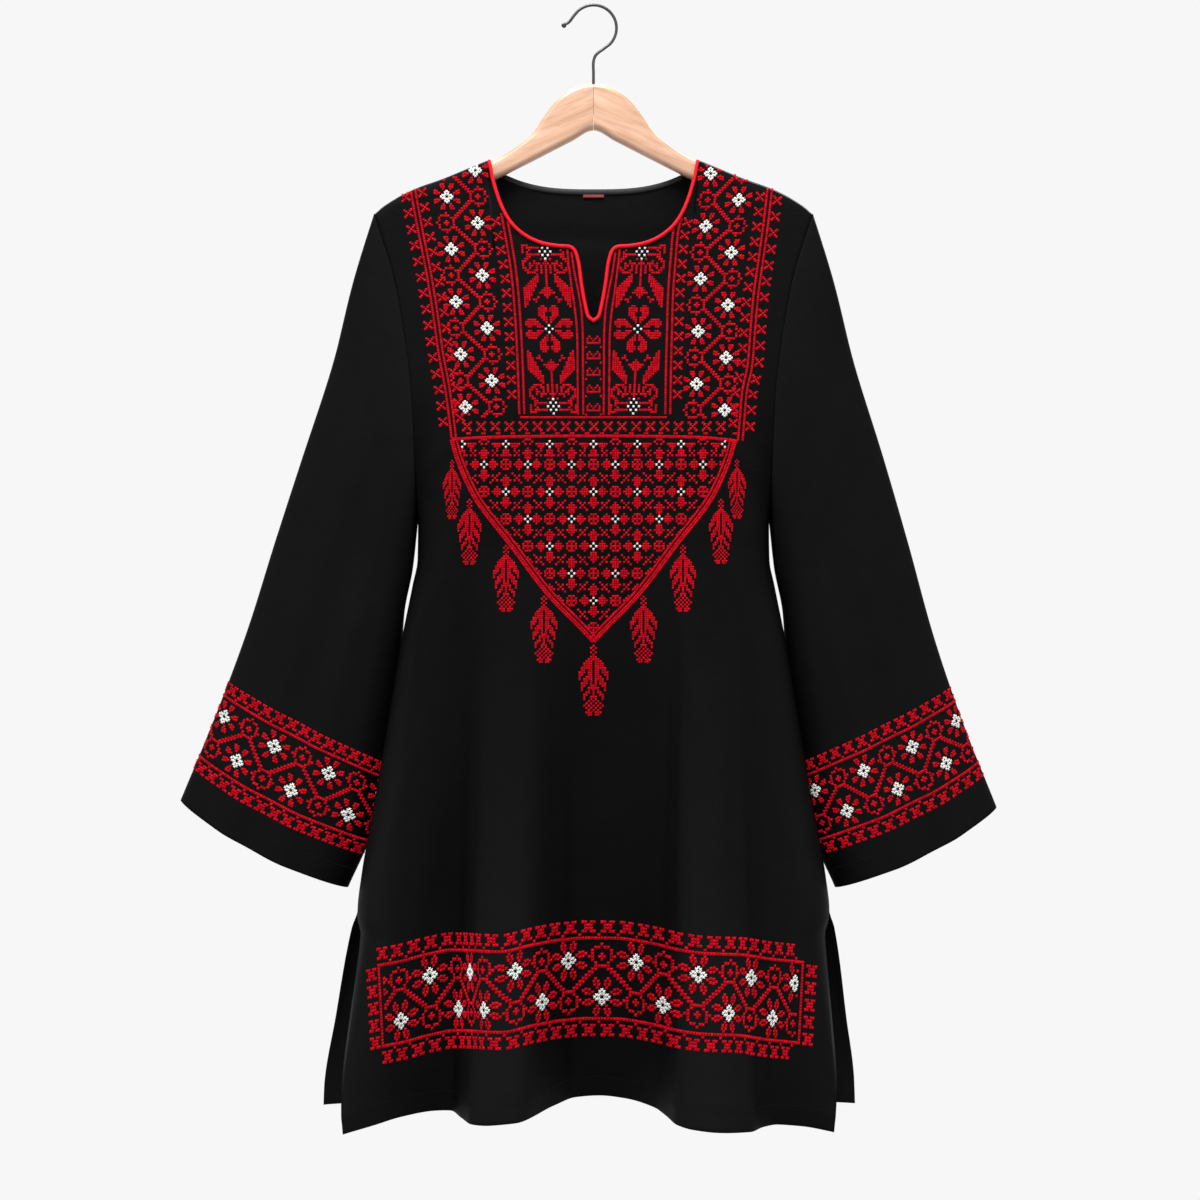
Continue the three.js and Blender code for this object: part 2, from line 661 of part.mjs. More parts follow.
const tunic = new THREE.Group();
function addPiece(name, geometry, material) {
  const mesh = new THREE.Mesh(geometry, materials[material]());
  mesh.name = name;
  tunic.add(mesh);
}

const [leftArm, rightArm] = hangerGeometries();
addPiece('hanger_hook', hookGeometry(), 'wire');
addPiece('hanger_left_arm', leftArm, 'wood');
addPiece('hanger_right_arm', rightArm, 'wood');

function addPanel(side, layout) {
  const sections = ['top', 'chest', 'skirt'];
  panelGeometries(layout).forEach((geometry, k) => addPiece(`${side}_${sections[k]}`, geometry, 'cloth'));
}

addPanel('front', {
  topEdge: frontTopEdge(),
  halfAt: frontHalf,
  hemZ: frontHemZ,
  surfaceY: frontY,
  fromMiddle: [0, 3.5, 8, 14, 32, 52, 70, 75, 92, 109, 126, 143, 160, 175],
  fromNeck: [-10, -4, 0, 12, 38, 64, 92],
  frontSide: true,
});
addPanel('back', {
  topEdge: backTopEdge(),
  halfAt: backHalf,
  hemZ: backHemZ,
  surfaceY: backY,
  fromMiddle: [0, 30, 58, 84, 102],
  fromNeck: [-8, -3.5, 0, 12, 48, 84],
  frontSide: false,
});
addPiece('left_sleeve', sleeveGeometry(-1), 'cloth');
addPiece('right_sleeve', sleeveGeometry(1), 'cloth');
addPiece('neck_piping', pipingGeometry(), 'piping');
addPiece('back_neck_binding', bindingGeometry(), 'binding');

const neckLabel = labelMesh(materials.label());
neckLabel.name = 'neck_label';
tunic.add(neckLabel);

export default tunic;
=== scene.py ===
import math

import bmesh
import bpy
import numpy as np
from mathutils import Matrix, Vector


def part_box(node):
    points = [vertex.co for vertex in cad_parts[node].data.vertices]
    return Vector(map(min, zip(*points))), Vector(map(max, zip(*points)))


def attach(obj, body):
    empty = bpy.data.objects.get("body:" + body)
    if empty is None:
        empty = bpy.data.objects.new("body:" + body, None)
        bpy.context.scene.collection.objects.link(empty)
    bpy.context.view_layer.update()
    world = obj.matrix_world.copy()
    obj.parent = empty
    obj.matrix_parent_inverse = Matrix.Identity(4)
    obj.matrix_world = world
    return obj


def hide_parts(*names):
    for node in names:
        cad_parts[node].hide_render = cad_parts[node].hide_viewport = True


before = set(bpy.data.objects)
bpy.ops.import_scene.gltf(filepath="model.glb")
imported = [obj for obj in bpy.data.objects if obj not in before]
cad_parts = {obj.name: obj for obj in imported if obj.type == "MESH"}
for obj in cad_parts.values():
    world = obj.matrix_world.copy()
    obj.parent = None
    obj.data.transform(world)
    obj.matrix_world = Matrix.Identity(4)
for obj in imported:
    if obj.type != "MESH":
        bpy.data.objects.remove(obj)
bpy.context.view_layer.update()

# A long-sleeved tunic on a wooden hanger. Tables and sizes are in millimetres, in the frame
# of the hook: x to the right, y away from the viewer, z up. Meshes are made in metres.
mm = 0.001

body = {
    "shoulder": [(0, -113), (103.5, -153), (122, -160.5), (150, -172), (176, -181.5),
                 (194, -190), (209, -199.5), (219, -207.7)],          # x, z
    "side": [(-207.7, 219), (-235, 210), (-265, 200.5), (-300, 192.8), (-345, 185.5),
             (-388, 180.5), (-440, 177.8), (-515, 175.5), (-553, 176), (-579, 181),
             (-634, 192), (-700, 203), (-760, 213), (-822, 224), (-868, 232), (-905, 236)],  # z, half
    "frontEdge": [(-924, 231.5), (-960, 233.2), (-1000, 236), (-1056, 238.8), (-1104, 234.7)],
    "backEdge": [(-921, 241.5), (-1014, 257.7), (-1087, 269.5), (-1106, 270.2)],
    "frontDepth": [(-150, 10), (-220, 10.8), (-320, 14), (-440, 18), (-560, 20)],   # z, depth
    "backDepth": [(-150, 10.5), (-250, 11), (-400, 15), (-560, 17)],
    "underarm": -515, "underarmCurve": 85, "slitTop": -905, "foldTop": -540, "foldRise": 500,
    "hemMiddle": -1088, "backHemMiddle": -1090, "hemDrop": 16, "hemHalf": 240, "backHemHalf": 270,
    "topRound": 9, "sideRound": 14, "skirtRound": 35, "hemSway": -4.3,
    "thickness": 0.5, "columns": 168, "rows": 232, "backColumns": 140, "backRows": 200,
    "hemSamples": 500, "sidePull": 5, "freeSide": 18, "freeTop": 26,
    "shoulderPoints": 30, "backNeckPoints": 60,
}

view = {
    "pixelOrigin": (-593.5, 6.5),                         # seen x and z of the photograph's corner
    "centre": (6.5, -593.5), "distance": 1500, "lens": 45, "sensor": 36,
    "floorZ": -1500, "floorRadius": 640, "world": 0.93,
    # x, y, z, size, strength in watts
    "lights": [(-250, -950, 1500, 900, 100), (-1300, -1900, 300, 1400, 9),
               (1500, -1700, -200, 1500, 7), (300, 1500, 700, 1400, 14)],
}

# x at the hem, depth in front of the seam plane, lean to the right over foldRise
frontFolds = [
    (-239, 68, 54), (-212, 53, 44), (-188, 37, 32), (-158, 28, 20), (-140, 31, 14), (-127, 55, 13),
    (-115, 76, 13), (-98, 82, 12), (-74, 79, 10), (-38, 31, 8), (-18, 8, 6), (6, 3, 6), (32, 11, 9),
    (60, 36, 13), (70, 58, 14), (79, 82, 13), (94, 94, 8), (114, 98, 0), (148, 89, -12),
    (162, 72, -18), (178, 61, -24), (203, 59, -36), (230.5, 65, -50),
]
backFolds = [(-272, 25), (-215, 18), (-160, 44), (-95, 21), (-15, 52), (55, 22), (130, 46),
             (205, 18), (269, 27)]


# Monotone cubic through (x, y) rows: each inner tangent is the harmonic mean of its two slopes
def curveThrough(rows, column=1):
    table = np.array(sorted(rows), float)
    xs, ys = table[:, 0], table[:, column]
    slopes = np.diff(ys) / np.diff(xs)
    before, after = slopes[:-1], slopes[1:]
    total = np.where(before + after == 0, 1, before + after)
    inner = np.where(before * after <= 0, 0, 2 * before * after / total)
    tangents = np.concatenate([slopes[:1], inner, slopes[-1:]])

    def curve(q):
        q = np.clip(np.asarray(q, float), xs[0], xs[-1])
        i = np.clip(np.searchsorted(xs, q, side="left") - 1, 0, len(xs) - 2)
        width = xs[i + 1] - xs[i]
        s = (q - xs[i]) / width
        bend = width * s * (1 - s) * (tangents[i] * (1 - s) - tangents[i + 1] * s)
        return ys[i] * (1 - s) ** 2 * (1 + 2 * s) + ys[i + 1] * s ** 2 * (3 - 2 * s) + bend
    return curve


# Each vector over its length
def unit(vectors):
    return vectors / np.maximum(np.linalg.norm(vectors, axis=-1, keepdims=True), 1e-9)


# The length of a line up to each of its points: the running sum of its steps
def lengthsAlong(line):
    return np.concatenate([[0], np.cumsum(np.linalg.norm(np.diff(line, axis=0), axis=1))])


# Points from arrays of their coordinates, each spread to the shape of all
def spread(*parts):
    return np.stack(np.broadcast_arrays(*parts), -1)


# The nearest number to q from 0 to 1
def clamp01(q):
    return np.clip(q, 0, 1)


# q squared times 3 - 2q
def easeInOut(q):
    q = clamp01(q)
    return q * q * (3 - 2 * q)


# Height of a quarter circle at q: the root of 1 - (1 - q) squared
def quarterRound(q):
    return np.sqrt(1 - (1 - clamp01(q)) ** 2)


shoulderZ = curveThrough(body["shoulder"])
frontHalf = curveThrough(body["side"] + body["frontEdge"])
backHalf = curveThrough(body["side"] + body["backEdge"])
frontBase = curveThrough(body["frontDepth"])
backBase = curveThrough(body["backDepth"])
frontFold = curveThrough(frontFolds, 1)
foldLean = curveThrough(frontFolds, 2)
backFold = curveThrough(backFolds)


# Hem heights: the middle less a drop that grows with the square of the distance from it
def frontHemZ(x):
    return body["hemMiddle"] - body["hemDrop"] * (x / body["hemHalf"]) ** 2


def backHemZ(x):
    return body["backHemMiddle"] - body["hemDrop"] * (x / body["backHemHalf"]) ** 2


# Shares of the way down to the hem, from the top of the folds and from the top of the slits
def foldGrowth(z):
    return clamp01((body["foldTop"] - z) / (body["foldTop"] - body["hemMiddle"])) ** 1.1


def slitOpening(z):
    return clamp01((body["slitTop"] - z) / (body["slitTop"] - body["hemMiddle"]))


def sway(z):
    return body["hemSway"] * slitOpening(z)


# Share of the depth that a side edge keeps: whole at the armhole, none at the side seam,
# growing again beside the slit
def edgeShare(z):
    fall = clamp01((body["underarm"] + body["underarmCurve"] - z) / body["underarmCurve"])
    return np.maximum(np.sqrt(1 - fall ** 2), slitOpening(z))


# Depth times a quarter round at the side edge and another at the shoulder
def panelDepth(full, half, x, z):
    edge = half - np.abs(x - sway(z))
    kept = edgeShare(z)
    rounding = body["sideRound"] + body["skirtRound"] * foldGrowth(z)
    side = kept + (1 - kept) * quarterRound(edge / rounding)
    top = quarterRound((shoulderZ(np.abs(x)) - z) / body["topRound"])
    return full * side * top


# Base depth fading into the fold's depth towards the hem, each fold leaning as it rises
def frontForm(x, z):
    growth = foldGrowth(z)
    atHem = x - foldLean(x) * clamp01((z - frontHemZ(x)) / body["foldRise"])
    full = frontBase(z) * (1 - growth) + frontFold(atHem) * growth
    return -panelDepth(full, frontHalf(z), x, z)


def backForm(x, z):
    growth = foldGrowth(z)
    full = backBase(z) * (1 - growth) + backFold(x) * growth
    return panelDepth(full, backHalf(z), x, z)


# Soft creases: x and z of the middle, length, direction in degrees from level, half width, rise
frontCreases = [
    (-150, -560, 150, 72, 9, 1.3), (-128, -640, 210, 80, 8, -1.2), (-60, -700, 260, 86, 12, 1.1),
    (-20, -640, 220, 92, 9, 0.9), (48, -690, 240, 90, 10, -1.1), (92, -640, 200, 96, 9, 1.2),
    (140, -590, 180, 106, 9, 1.1), (158, -700, 230, 100, 9, -1.3), (120, -780, 210, 93, 8, 1.2),
    (186, -800, 190, 104, 7, 1.1), (-190, -800, 200, 76, 7, 1.2), (-150, -850, 160, 82, 7, -1.1),
    (10, -860, 170, 88, 9, 0.9), (-165, -470, 90, 55, 8, 1.2), (166, -474, 96, 124, 8, 1.3),
    (-172, -300, 110, 66, 7, 0.9), (172, -310, 120, 112, 7, 0.9), (-150, -230, 60, 48, 7, 0.7),
    (150, -226, 56, 130, 7, 0.7),
]
hemCrinkles = [
    (-168, -1052, 46, 12, 6, 0.8), (-62, -1066, 60, -8, 5, 0.9), (-18, -1070, 44, 18, 6, -0.7),
    (24, -1062, 54, -14, 6, 0.9), (58, -1076, 36, 6, 5, 0.7), (124, -1068, 62, -10, 5, 0.9),
    (176, -1084, 44, 14, 6, 0.8), (-206, -1080, 34, -16, 6, 0.7), (-112, -1078, 38, 10, 5, 0.6),
    (92, -1052, 30, 28, 5, -0.6), (204, -1056, 30, 40, 5, 0.6), (-28, -1046, 40, 30, 6, 0.6),
]
backCreases = [
    (-120, -300, 180, 84, 10, 1.2), (96, -330, 200, 95, 10, 1.3), (-40, -430, 240, 88, 12, 1.1),
    (20, -620, 260, 91, 11, -1.2), (-150, -600, 190, 78, 9, 1.3), (150, -640, 200, 101, 9, 1.2),
    (-90, -760, 260, 86, 9, -1.3), (86, -800, 240, 94, 9, 1.4), (-190, -860, 200, 79, 8, 1.2),
    (190, -870, 190, 103, 8, -1.1), (-158, -470, 100, 58, 8, 1.3), (160, -466, 104, 120, 8, 1.2),
    (0, -230, 130, 4, 9, 0.9), (-70, -1062, 60, 8, 6, 0.8), (40, -1070, 70, -10, 6, 0.8),
    (150, -1074, 54, 12, 6, 0.7), (-180, -1076, 50, -12, 6, 0.8),
]


crease = {"waver": 0.5, "waverTurn": 2.2}


# Sum of ridges: a bell across each one, which wavers with a sine, and a bell of the fourth power along it
def creaseRise(creases, x, z):
    rise = np.zeros(np.broadcast(x, z).shape)
    for middleX, middleZ, length, direction, halfWidth, height in creases:
        c, s = math.cos(math.radians(direction)), math.sin(math.radians(direction))
        along = ((x - middleX) * c + (z - middleZ) * s) / (length / 2)
        across = (-(x - middleX) * s + (z - middleZ) * c) / halfWidth
        across = across + crease["waver"] * np.sin(crease["waverTurn"] * along + middleX)
        rise = rise + height * np.exp(-along ** 4 - across ** 2)
    return rise


# How freely the cloth may stand off: an ease from the side edge times one from the shoulder
def freeCloth(half, x, z):
    edge = half - np.abs(x - sway(z))
    top = shoulderZ(np.abs(x)) - z
    return easeInOut(edge / body["freeSide"]) * easeInOut(top / body["freeTop"])


def frontY(x, z):
    rise = creaseRise(frontCreases + hemCrinkles, x, z)
    return frontForm(x, z) - rise * freeCloth(frontHalf(z), x, z)


def backY(x, z):
    return backForm(x, z) + creaseRise(backCreases, x, z) * freeCloth(backHalf(z), x, z)


# Mesh helpers

def placed(name, data):
    made = bpy.data.objects.new(name, data)
    bpy.context.scene.collection.objects.link(made)
    return made


def giveAttribute(piece, name, values):
    attribute = piece.data.attributes.new(name, "FLOAT", "POINT")
    attribute.data.foreach_set("value", values.astype(np.float32))


def makeObject(name, points, faces, smooth=True):
    mesh = bpy.data.meshes.new(name)
    points = np.asarray(points, float).reshape(-1, 3) * mm
    if isinstance(faces, np.ndarray):
        count, size = faces.shape
        mesh.vertices.add(len(points))
        mesh.vertices.foreach_set("co", points.astype(np.float32).ravel())
        mesh.loops.add(count * size)
        mesh.loops.foreach_set("vertex_index", faces.astype(np.int32).ravel())
        mesh.polygons.add(count)
        mesh.polygons.foreach_set("loop_start", np.arange(0, count * size, size, dtype=np.int32))
        mesh.update(calc_edges=True)
    else:
        mesh.from_pydata(points.tolist(), [], faces)
    mesh.validate()
    mesh.polygons.foreach_set("use_smooth", [smooth] * len(mesh.polygons))
    mesh.update()
    return placed(name, mesh)


# Quads of a grid of rows by columns, numbered along the rows; turn reverses them
def gridFaces(rows, columns, closed=False, turn=False, start=0):
    spans = columns if closed else columns - 1
    j, i = np.meshgrid(np.arange(rows - 1), np.arange(spans), indexing="ij")
    a = j * columns + i
    b = j * columns + (i + 1) % columns
    quads = np.stack([a, a + columns, b + columns, b], -1).reshape(-1, 4) + start
    return quads[:, ::-1] if turn else quads


# Unit normals of a grid, from the cross product of its two differences
def gridNormals(grid, closed=False):
    if closed:
        across = np.roll(grid, -1, 1) - np.roll(grid, 1, 1)
    else:
        across = np.gradient(grid, axis=1)
    return unit(np.cross(across, np.gradient(grid, axis=0)))


# A thin closed shell: the grid, a copy moved inwards by the thickness, and the rims
def shellObject(name, grid, normals, thickness, closed=False, turn=False):
    rows, columns = grid.shape[:2]
    inner = grid - normals * thickness
    count = rows * columns
    faces = [gridFaces(rows, columns, closed, turn), gridFaces(rows, columns, closed, not turn, count)]
    index = np.arange(count).reshape(rows, columns)
    rims = [(index[0], False), (index[-1], True)]
    if not closed:
        rims += [(index[:, 0], True), (index[:, -1], False)]
    for line, flip in rims:
        after = np.roll(line, -1) if closed else line[1:]
        before = line if closed else line[:-1]
        rim = np.stack([before, after, after + count, before + count], -1)
        faces.append(rim if flip == turn else rim[:, ::-1])
    return makeObject(name, np.concatenate([grid.reshape(-1, 3), inner.reshape(-1, 3)]),
                      np.concatenate(faces))


# A round bar along a line: rings in the plane across the line, closed by fans at its ends
def barObject(name, line, radius, sides=12, turn=(0, 1, 0)):
    line = np.asarray(line, float)
    forward = unit(np.gradient(line, axis=0))
    side = unit(np.cross(forward, turn))
    up = np.cross(side, forward)
    angle = np.linspace(0, 2 * math.pi, sides, endpoint=False)[None, :, None]
    radii = np.broadcast_to(np.asarray(radius, float), len(line))[:, None, None]
    rings = line[:, None] + radii * (np.cos(angle) * side[:, None] + np.sin(angle) * up[:, None])
    points = np.concatenate([rings.reshape(-1, 3), line[:1], line[-1:]])
    quads = gridFaces(len(line), sides, True).tolist()
    first, last = len(points) - 2, len(points) - 1
    ring = np.arange(sides)
    end = ring + (len(line) - 1) * sides
    caps = np.concatenate([
        np.stack([np.full(sides, first), ring, np.roll(ring, -1)], -1),
        np.stack([np.full(sides, last), np.roll(end, -1), end], -1),
    ]).tolist()
    piece = makeObject(name, points, quads + caps)
    pointOutwards(piece)
    return piece


def pointOutwards(piece):
    work = bmesh.new()
    work.from_mesh(piece.data)
    bmesh.ops.recalc_face_normals(work, faces=work.faces)
    work.to_mesh(piece.data)
    work.free()


# Centripetal Catmull-Rom through a few points, as many points in each span
def smoothLine(points, perSpan=12):
    p = np.asarray(points, float)
    p = np.concatenate([[2 * p[0] - p[1]], p, [2 * p[-1] - p[-2]]])
    gap = np.maximum(np.linalg.norm(np.diff(p, axis=0), axis=1), 1e-9) ** 0.5
    knots = np.concatenate([[0], np.cumsum(gap)])
    out = []
    for i in range(1, len(p) - 2):
        t = np.linspace(knots[i], knots[i + 1], perSpan, endpoint=False)[:, None]
        k = knots[i - 1:i + 3]
        a = [((k[j + 1] - t) * p[i - 1 + j] + (t - k[j]) * p[i + j]) / (k[j + 1] - k[j]) for j in range(3)]
        b = [((k[j + 2] - t) * a[j] + (t - k[j]) * a[j + 1]) / (k[j + 2] - k[j]) for j in range(2)]
        out.append(((k[2] - t) * b[0] + (t - k[1]) * b[1]) / (k[2] - k[1]))
    return np.concatenate(out + [p[-2:-1]])


# The point at each share of a line's length
def alongLine(line, shares):
    lengths = lengthsAlong(line)
    wanted = np.asarray(shares) * lengths[-1]
    return np.stack([np.interp(wanted, lengths, line[:, k]) for k in range(line.shape[1])], -1)


# Neckline and panels

neck = {
    "line": [(103.6, -157), (98.8, -180), (90.8, -203.4), (81.4, -219.3), (69, -230.7), (53.1, -238.6),
             (36, -242), (22.6, -243.4), (18.6, -247), (15, -258), (12, -279.8), (7.6, -303.6),
             (5, -312.6), (0, -317)],                     # x, z of the right half, middle of the piping
    "pipingRadius": 1.75, "pipingProud": 0.7, "clothReach": 0.5,
    "backX": 106.6, "backMiddle": -180,
    "bindingHalf": 90, "bindingDrop": 0.6, "bindingWidth": 5, "bindingProud": 0.9,
    "bindingShell": 0.4,
    "bindingProfile": [(0, 0), (0.15, 0.6), (0.5, 0.8), (0.85, 0.7), (1, 0)],   # share of width, rise
    "label": (21, 2.8, 0.64), "labelBow": 0.15,           # width, height, thickness of the shell
    # where stitches may go: below the shoulder seam, outside the piping, or under the slit's foot
    "seamGap": 3, "pipingGap": 2.6, "pipingDrop": 3.2, "slitFoot": -321,
}
pipingHalf = smoothLine(neck["line"], 14)


# The back neckline rises from its middle with the cube of the distance
def backNeckZ(x):
    rise = shoulderZ(neck["backX"]) - neck["backMiddle"]
    return neck["backMiddle"] + rise * np.abs(x / neck["backX"]) ** 3


# The line with its mirror image, which shares its first point, before it
def mirrored(half):
    return np.concatenate([half[:0:-1] * (-1, 1), half])


# Top edge: the neckline moved out of the piping along its normal, then the shoulder seam
def frontTop():
    line = pipingHalf[::-1]
    along = unit(np.gradient(line, axis=0))
    edge = line + np.stack([along[:, 1], -along[:, 0]], -1) * neck["clothReach"]
    edge[0, 0] = 0
    edge[-1, 1] = shoulderZ(edge[-1, 0])
    x = np.linspace(edge[-1, 0], body["shoulder"][-1][0], body["shoulderPoints"])[1:]
    return mirrored(np.concatenate([edge, np.stack([x, shoulderZ(x)], -1)]))


def backTop():
    x = np.linspace(0, neck["backX"], body["backNeckPoints"])
    neckEdge = np.stack([x, backNeckZ(x)], -1)
    x = np.linspace(neck["backX"], body["shoulder"][-1][0], body["shoulderPoints"])[1:]
    return mirrored(np.concatenate([neckEdge, np.stack([x, shoulderZ(x)], -1)]))


# A panel's grid: each column runs from its share of the top edge to its share of the hem,
# and columns near a side are shifted so that the last one follows the side edge
def panelGrid(top, halfAt, hemAt, surfaceY, columns, rows):
    tipX, tipZ = body["shoulder"][-1]
    lowest = body["hemMiddle"] - body["hemDrop"]
    ends = []
    for side in (-1, 1):
        x = side * float(halfAt(lowest)) + float(sway(lowest))
        x = side * float(halfAt(hemAt(x))) + float(sway(hemAt(x)))
        ends.append((x, float(hemAt(x))))
    x = np.linspace(ends[0][0], ends[1][0], body["hemSamples"])
    hem = alongLine(np.stack([x, surfaceY(x, hemAt(x)), hemAt(x)], -1), np.linspace(0, 1, columns))
    u = np.linspace(0, 1, columns)[None]
    v = np.linspace(0, 1, rows)[:, None]
    topLine = alongLine(top, u[0])
    px = topLine[None, :, 0] * (1 - v) + hem[None, :, 0] * v
    pz = topLine[None, :, 1] * (1 - v) + hem[None, :, 2] * v
    for side, (endX, endZ), weight in ((-1, ends[0], 1 - u), (1, ends[1], u)):
        z = tipZ + (endZ - tipZ) * v
        straight = side * tipX * (1 - v) + endX * v
        px = px + weight ** body["sidePull"] * (side * halfAt(z) + sway(z) - straight)
    return np.stack([px, surfaceY(px, pz), pz], -1)


# Painted light on the crepe, 0 to 1, as an attribute: a base level, painted light on the skirt where its
# folds tilt up, painted highlight where the cloth stands out, and painted shade in the hollows, under the
# arms and towards each sleeve's inner edge
paintedLight = {
    "body": 0.33, "skirt": 0.3, "depth": 60, "window": 25, "sleeve": 0.62, "sleeveShade": 0.28,
    "shade": 0.33, "shadeZ": -500, "shadeReach": 110, "shadeWidth": 30,   # under the arms
}


# How far the cloth stands out of the mean of its row within a window of columns
def standOut(grid):
    window = paintedLight["window"]
    y = np.pad(grid[..., 1], ((0, 0), (window, window)), mode="edge")
    total = np.cumsum(np.pad(y, ((0, 0), (1, 0))), axis=1)
    span = 2 * window + 1
    return (total[:, span:] - total[:, :-span]) / span - grid[..., 1]


# Painted light and shade of the crepe, 0 to 1, for both faces of a shell: more painted light on what
# stands out
def givePaintedLight(piece, values):
    giveAttribute(piece, "paintedLight", np.tile(clamp01(values).ravel(), 2))


def makeFrontPanel():
    grid = panelGrid(frontTop(), frontHalf, frontHemZ, frontY, body["columns"], body["rows"])
    piece = shellObject("tunic_front", grid, -gridNormals(grid), body["thickness"])
    x, z = grid[..., 0], grid[..., 2]
    # painted shade in a band under the arms, beside the side edges
    level = np.exp(-((z - paintedLight["shadeZ"]) / paintedLight["shadeReach"]) ** 4)
    underArmShade = level * easeInOut(1 - (frontHalf(z) - np.abs(x)) / paintedLight["shadeWidth"])
    # painted light: a base level, more on the skirt, a painted highlight where the cloth stands out of its
    # row and painted shade in the hollows, less the painted shade under the arms
    paintedLightLevel = paintedLight["body"] + paintedLight["skirt"] * foldGrowth(z) + standOut(grid) / paintedLight["depth"]
    givePaintedLight(piece, paintedLightLevel - paintedLight["shade"] * underArmShade)
    return piece, grid


def makeBackPanel():
    grid = panelGrid(backTop(), backHalf, backHemZ, backY, body["backColumns"], body["backRows"])
    piece = shellObject("tunic_back", grid, gridNormals(grid), body["thickness"], turn=True)
    # painted light: a base level, more on the skirt, a painted highlight where the back stands out of its
    # row and painted shade in its hollows
    paintedLightLevel = paintedLight["body"] + paintedLight["skirt"] * foldGrowth(grid[..., 2])
    givePaintedLight(piece, paintedLightLevel - standOut(grid) / paintedLight["depth"])
    return piece, grid


# Sleeves

sleeve = {
    # t, outer x, outer z, inner x, inner z, middle plane, half depth
    "sections": [
        (0, 219, -207.7, 175.5, -515, 0, 10), (0.12, 241.5, -278.5, 180.6, -560, 5, 13),
        (0.25, 262.4, -355, 190.5, -607, 11, 16), (0.4, 292.3, -443, 195, -662, 17, 18),
        (0.55, 321.3, -531.6, 203.5, -718, 18, 19), (0.7, 349.3, -621, 213, -774, 18, 20),
        (0.85, 381.5, -708.8, 224.5, -829, 16.5, 21), (1, 416.5, -795, 247.5, -883, 14, 22),
    ],
    "rightCuff": (-10, -7, -4),                           # outer x, outer z, inner x
    "cuffSag": 6.5, "sag": (0.47, -0.88), "blend": 0.25, "fullness": 2.4,
    "folds": [(0.3, 0.09, 4), (0.62, 0.12, 5)],           # place across, width, depth
    "foldGrowth": 0.6, "creaseGrowth": 0.1, "creaseShift": 0.04, "lateFrom": 0.25,
    "rows": 190, "around": 150, "thickness": 0.5,
}
# Creases of a sleeve: t, place across, length in t, width across, rise, slant
sleeveCreases = [
    (0.16, 0.55, 0.30, 0.07, 1.5, 0.5), (0.30, 0.20, 0.42, 0.05, 1.1, -0.15),
    (0.36, 0.74, 0.34, 0.06, 1.3, 0.25), (0.50, 0.46, 0.50, 0.05, -1.2, 0.10),
    (0.62, 0.18, 0.36, 0.04, 0.9, -0.08), (0.66, 0.80, 0.36, 0.05, 1.1, 0.12),
    (0.10, 0.84, 0.16, 0.06, 1.4, 0.7), (0.22, 0.36, 0.22, 0.05, 1.0, -0.35),
    (0.80, 0.52, 0.26, 0.05, 0.9, 0.06),
]


# A curve through each column of the sections; the right cuff's shifts are eased in below the top
def sleeveCurves(isRight):
    table = np.array(sleeve["sections"], float)
    start = sleeve["lateFrom"]
    late = easeInOut((table[:, 0] - start) / (1 - start)) * (1 if isRight else 0)
    for column, shift in zip((1, 2, 3), sleeve["rightCuff"]):
        table[:, column] += shift * late
    return [curveThrough(table.tolist(), column) for column in range(1, 7)]


# The flat tube: across from the outer to the inner edge, with a bulging section, blended at
# the top into the armhole's own edge
def sleevePoint(side, t, v, face):
    outerX, outerZ, innerX, innerZ, middle, half = sleeveCurves(side > 0)
    tipX, tipZ = body["shoulder"][-1]
    level = tipZ + (body["underarm"] - tipZ) * v
    blend = easeInOut(t / sleeve["blend"])
    straight = tipX + (sleeve["sections"][0][3] - tipX) * v
    bow = (frontHalf(level) - straight) * (1 - t) ** 2
    sag = sleeve["cuffSag"] * 4 * v * (1 - v) * t ** 4
    x = outerX(t) + (innerX(t) - outerX(t)) * v + bow + sag * sleeve["sag"][0]
    z = outerZ(t) + (innerZ(t) - outerZ(t)) * v + sag * sleeve["sag"][1]
    edgeY = np.where(face < 0, frontForm(frontHalf(level), level), backForm(frontHalf(level), level))
    rise = sum(depth * np.exp(-((v - place) / width) ** 2) for place, width, depth in sleeve["folds"])
    rise = rise * easeInOut(t / sleeve["foldGrowth"])
    grown = easeInOut(t / sleeve["creaseGrowth"])
    for atT, atV, length, width, height, slant in sleeveCreases:
        shifted = v - atV - slant * (t - atT) + sleeve["creaseShift"] * face
        rise = rise + height * np.exp(-((t - atT) / length * 2) ** 4 - (shifted / width) ** 2) * grown
    lens = np.sqrt(np.maximum(1 - np.abs(2 * v - 1) ** sleeve["fullness"], 0))
    tubeY = middle(t) + face * (half(t) * lens + rise * np.sin(math.pi * v))
    onEdge = (v <= 0) | (v >= 1)
    y = (1 - blend) * np.where(onEdge, 0, edgeY) + blend * tubeY
    return spread(side * x, y, z)


# Places round the tube: down the front face and up the back one, closer at both edges
def sleeveRing(count):
    half = count // 2
    v = (1 - np.cos(np.linspace(0, math.pi, half + 1))) / 2
    return np.concatenate([v, v[-2:0:-1]]), np.concatenate([-np.ones(half + 1), np.ones(half - 1)])


def makeSleeve(name, side):
    v, face = sleeveRing(sleeve["around"])
    t = np.linspace(0, 1, sleeve["rows"])[:, None]
    grid = sleevePoint(side, t, v[None], face[None])
    normals = gridNormals(grid, True) * side
    piece = shellObject(name, grid, normals, sleeve["thickness"], True, side < 0)
    # painted shade towards the inner edge, where the sleeve turns away beside the body, and painted light
    # over the rest
    paintedLightLevel = paintedLight["sleeve"] * easeInOut((1 - v) / paintedLight["sleeveShade"])
    givePaintedLight(piece, np.broadcast_to(paintedLightLevel, grid.shape[:2]))
    return piece


